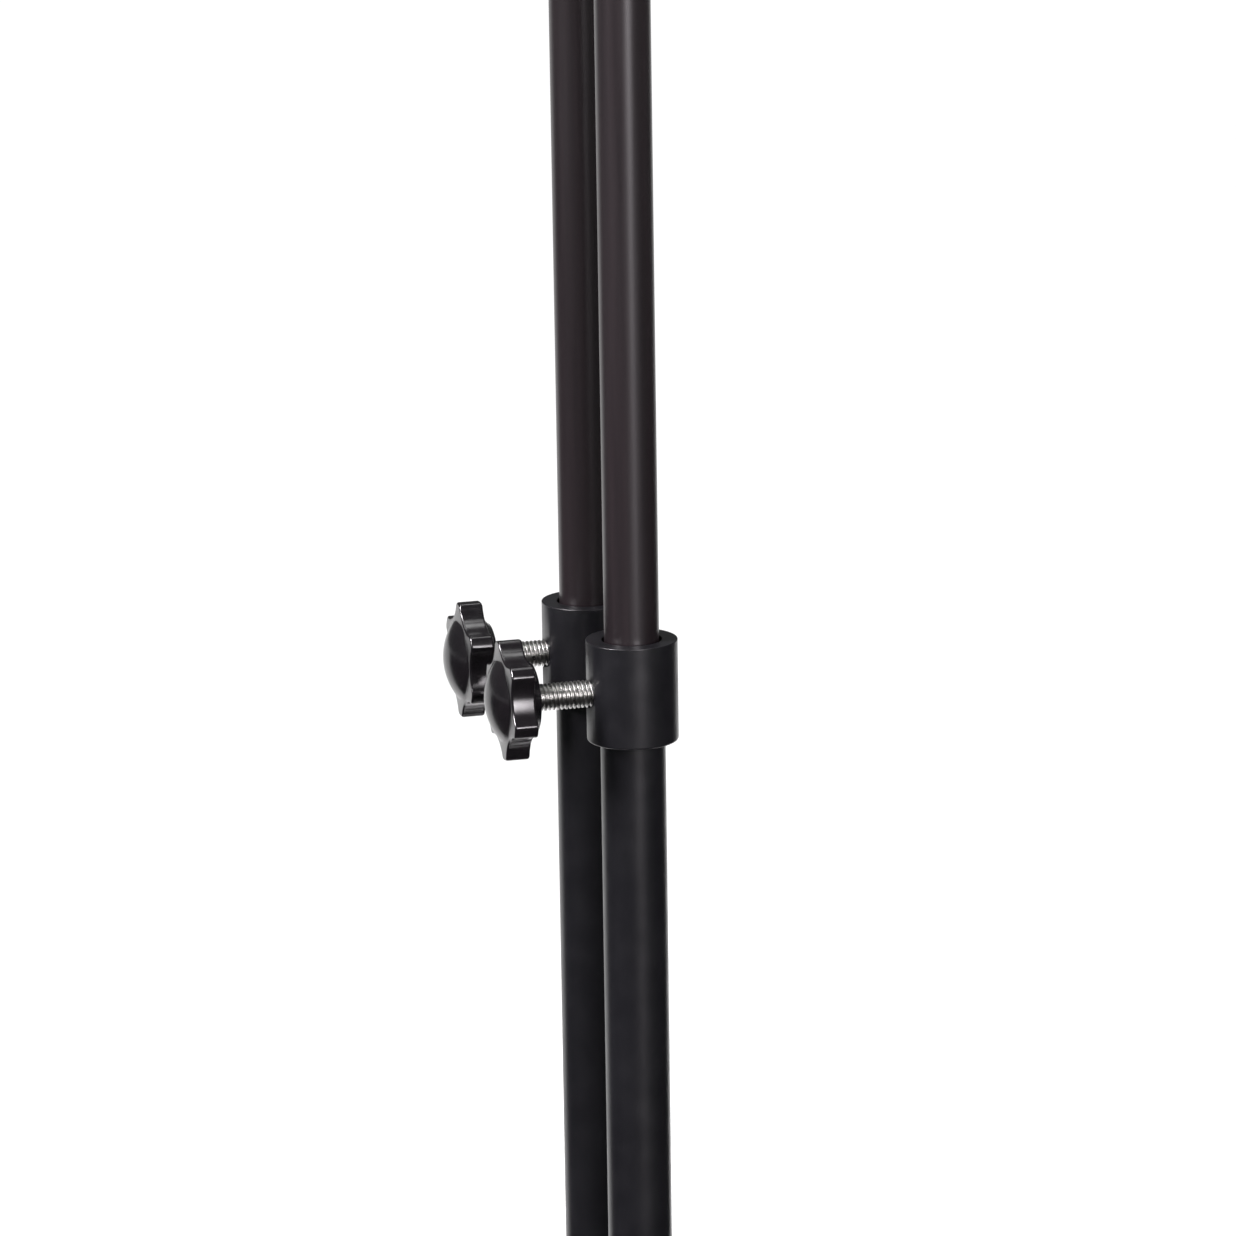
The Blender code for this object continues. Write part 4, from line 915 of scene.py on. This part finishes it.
# The camera: how it stands to the posts
cameraLook = {"azimuth": 74.64, "elevation": 13.96, "roll": -0.877, "distance": 1.5, "aside": 2.8 * mm,
              "height": 560.2 * mm, "lens": 148.671845, "sensor": 36}
azimuth, elevation = (math.radians(cameraLook[k]) for k in ("azimuth", "elevation"))
away = Vector((math.sin(azimuth) * math.cos(elevation), -math.cos(azimuth) * math.cos(elevation),
               math.sin(elevation)))
rightwards = Vector((math.cos(azimuth), math.sin(azimuth), 0))
target = Vector((0, 0, cameraLook["height"])) + rightwards * cameraLook["aside"]
camera = newObject("camera", bpy.data.cameras.new("camera"))
camera.data.sensor_width = cameraLook["sensor"]
camera.data.lens = cameraLook["lens"]
camera.data.clip_start, camera.data.clip_end = 0.05, 50
turnRound = Euler((math.pi / 2 - elevation, 0, azimuth)).to_matrix().to_4x4()
camera.matrix_world = (Matrix.Translation(target + away * cameraLook["distance"]) @ turnRound
                       @ Matrix.Rotation(math.radians(cameraLook["roll"]), 4, "Z"))
bpy.context.scene.camera = camera

flat = Vector((away.x, away.y, 0)).normalized()


def bearing(degrees, distance, height=0.0):
    angle = math.radians(degrees)
    return (flat * math.cos(angle) + rightwards * math.sin(angle)) * distance + Vector((0, 0, height))


for name, look in softBoxes.items():
    lamp = bpy.data.lights.new(name, "AREA")
    lamp.shape = "RECTANGLE"
    lamp.size, lamp.size_y = look["size"]
    lamp.energy = look["watts"]
    lamp.color = studio["boxColour"]   # a slightly rosy tube, which the black paint picks up
    lamp.spread = math.radians(studio["boxSpread"])   # a grid on the box narrows its beam
    obj = newObject(name, lamp)
    obj.visible_camera = False
    obj.location = bearing(look["bearing"], look["distance"], look["height"])
    aim = Vector((0, 0, studio["aimHeight"])) - obj.location
    obj.rotation_euler = aim.to_track_quat("-Z", "Y").to_euler()
top = bpy.data.lights.new("topLight", "SUN")
top.energy = studio["topLight"]
top.angle = math.radians(studio["topAngle"])
topObject = newObject("topLight", top)
topObject.rotation_euler = [math.radians(degrees) for degrees in studio["topTilt"]]

# a black flag lies on the floor on the camera's side, only for reflections: it keeps black paint black
flagBm = bmesh.new()
flagSteps = studio["flagSteps"]
flagSweep = studio["flagTo"] - studio["flagFrom"]
arc = [studio["flagFrom"] + flagSweep * i / flagSteps for i in range(flagSteps + 1)]
inner = [flagBm.verts.new(bearing(d, studio["flagInner"], studio["flagHeight"])) for d in arc]
outer = [flagBm.verts.new(bearing(d, studio["flagOuter"], studio["flagHeight"])) for d in arc]
for i in range(flagSteps):
    flagBm.faces.new((inner[i], outer[i], outer[i + 1], inner[i + 1]))
felt = studioCloth("blackFelt", "#0c0c0c", "#161616", {"Scale": 400.0}, 1.0)
felt.node_tree.nodes["Principled BSDF"].inputs["Specular IOR Level"].default_value = 0.0
flag = newObject("blackFlag", meshFrom("blackFlag", flagBm), felt)
flag.visible_camera = flag.visible_diffuse = flag.visible_shadow = False

# the room: white as the camera sees it, and dim for everything else
world = bpy.data.worlds.new("studio")
bpy.context.scene.world = world
world.use_nodes = True
tree = world.node_tree
tree.nodes.clear()
seen = addNode(tree, "ShaderNodeLightPath").outputs["Is Camera Ray"]
strength = addNode(tree, "ShaderNodeMix", {"Factor": seen, 2: studio["roomGlow"], 3: studio["roomSeen"]},
                   data_type="FLOAT")
background = addNode(tree, "ShaderNodeBackground", {"Color": (1, 1, 1, 1), "Strength": strength.outputs[0]})
addNode(tree, "ShaderNodeOutputWorld", {"Surface": background.outputs[0]})
bpy.context.scene.view_settings.view_transform = "Standard"
print("studio ready")
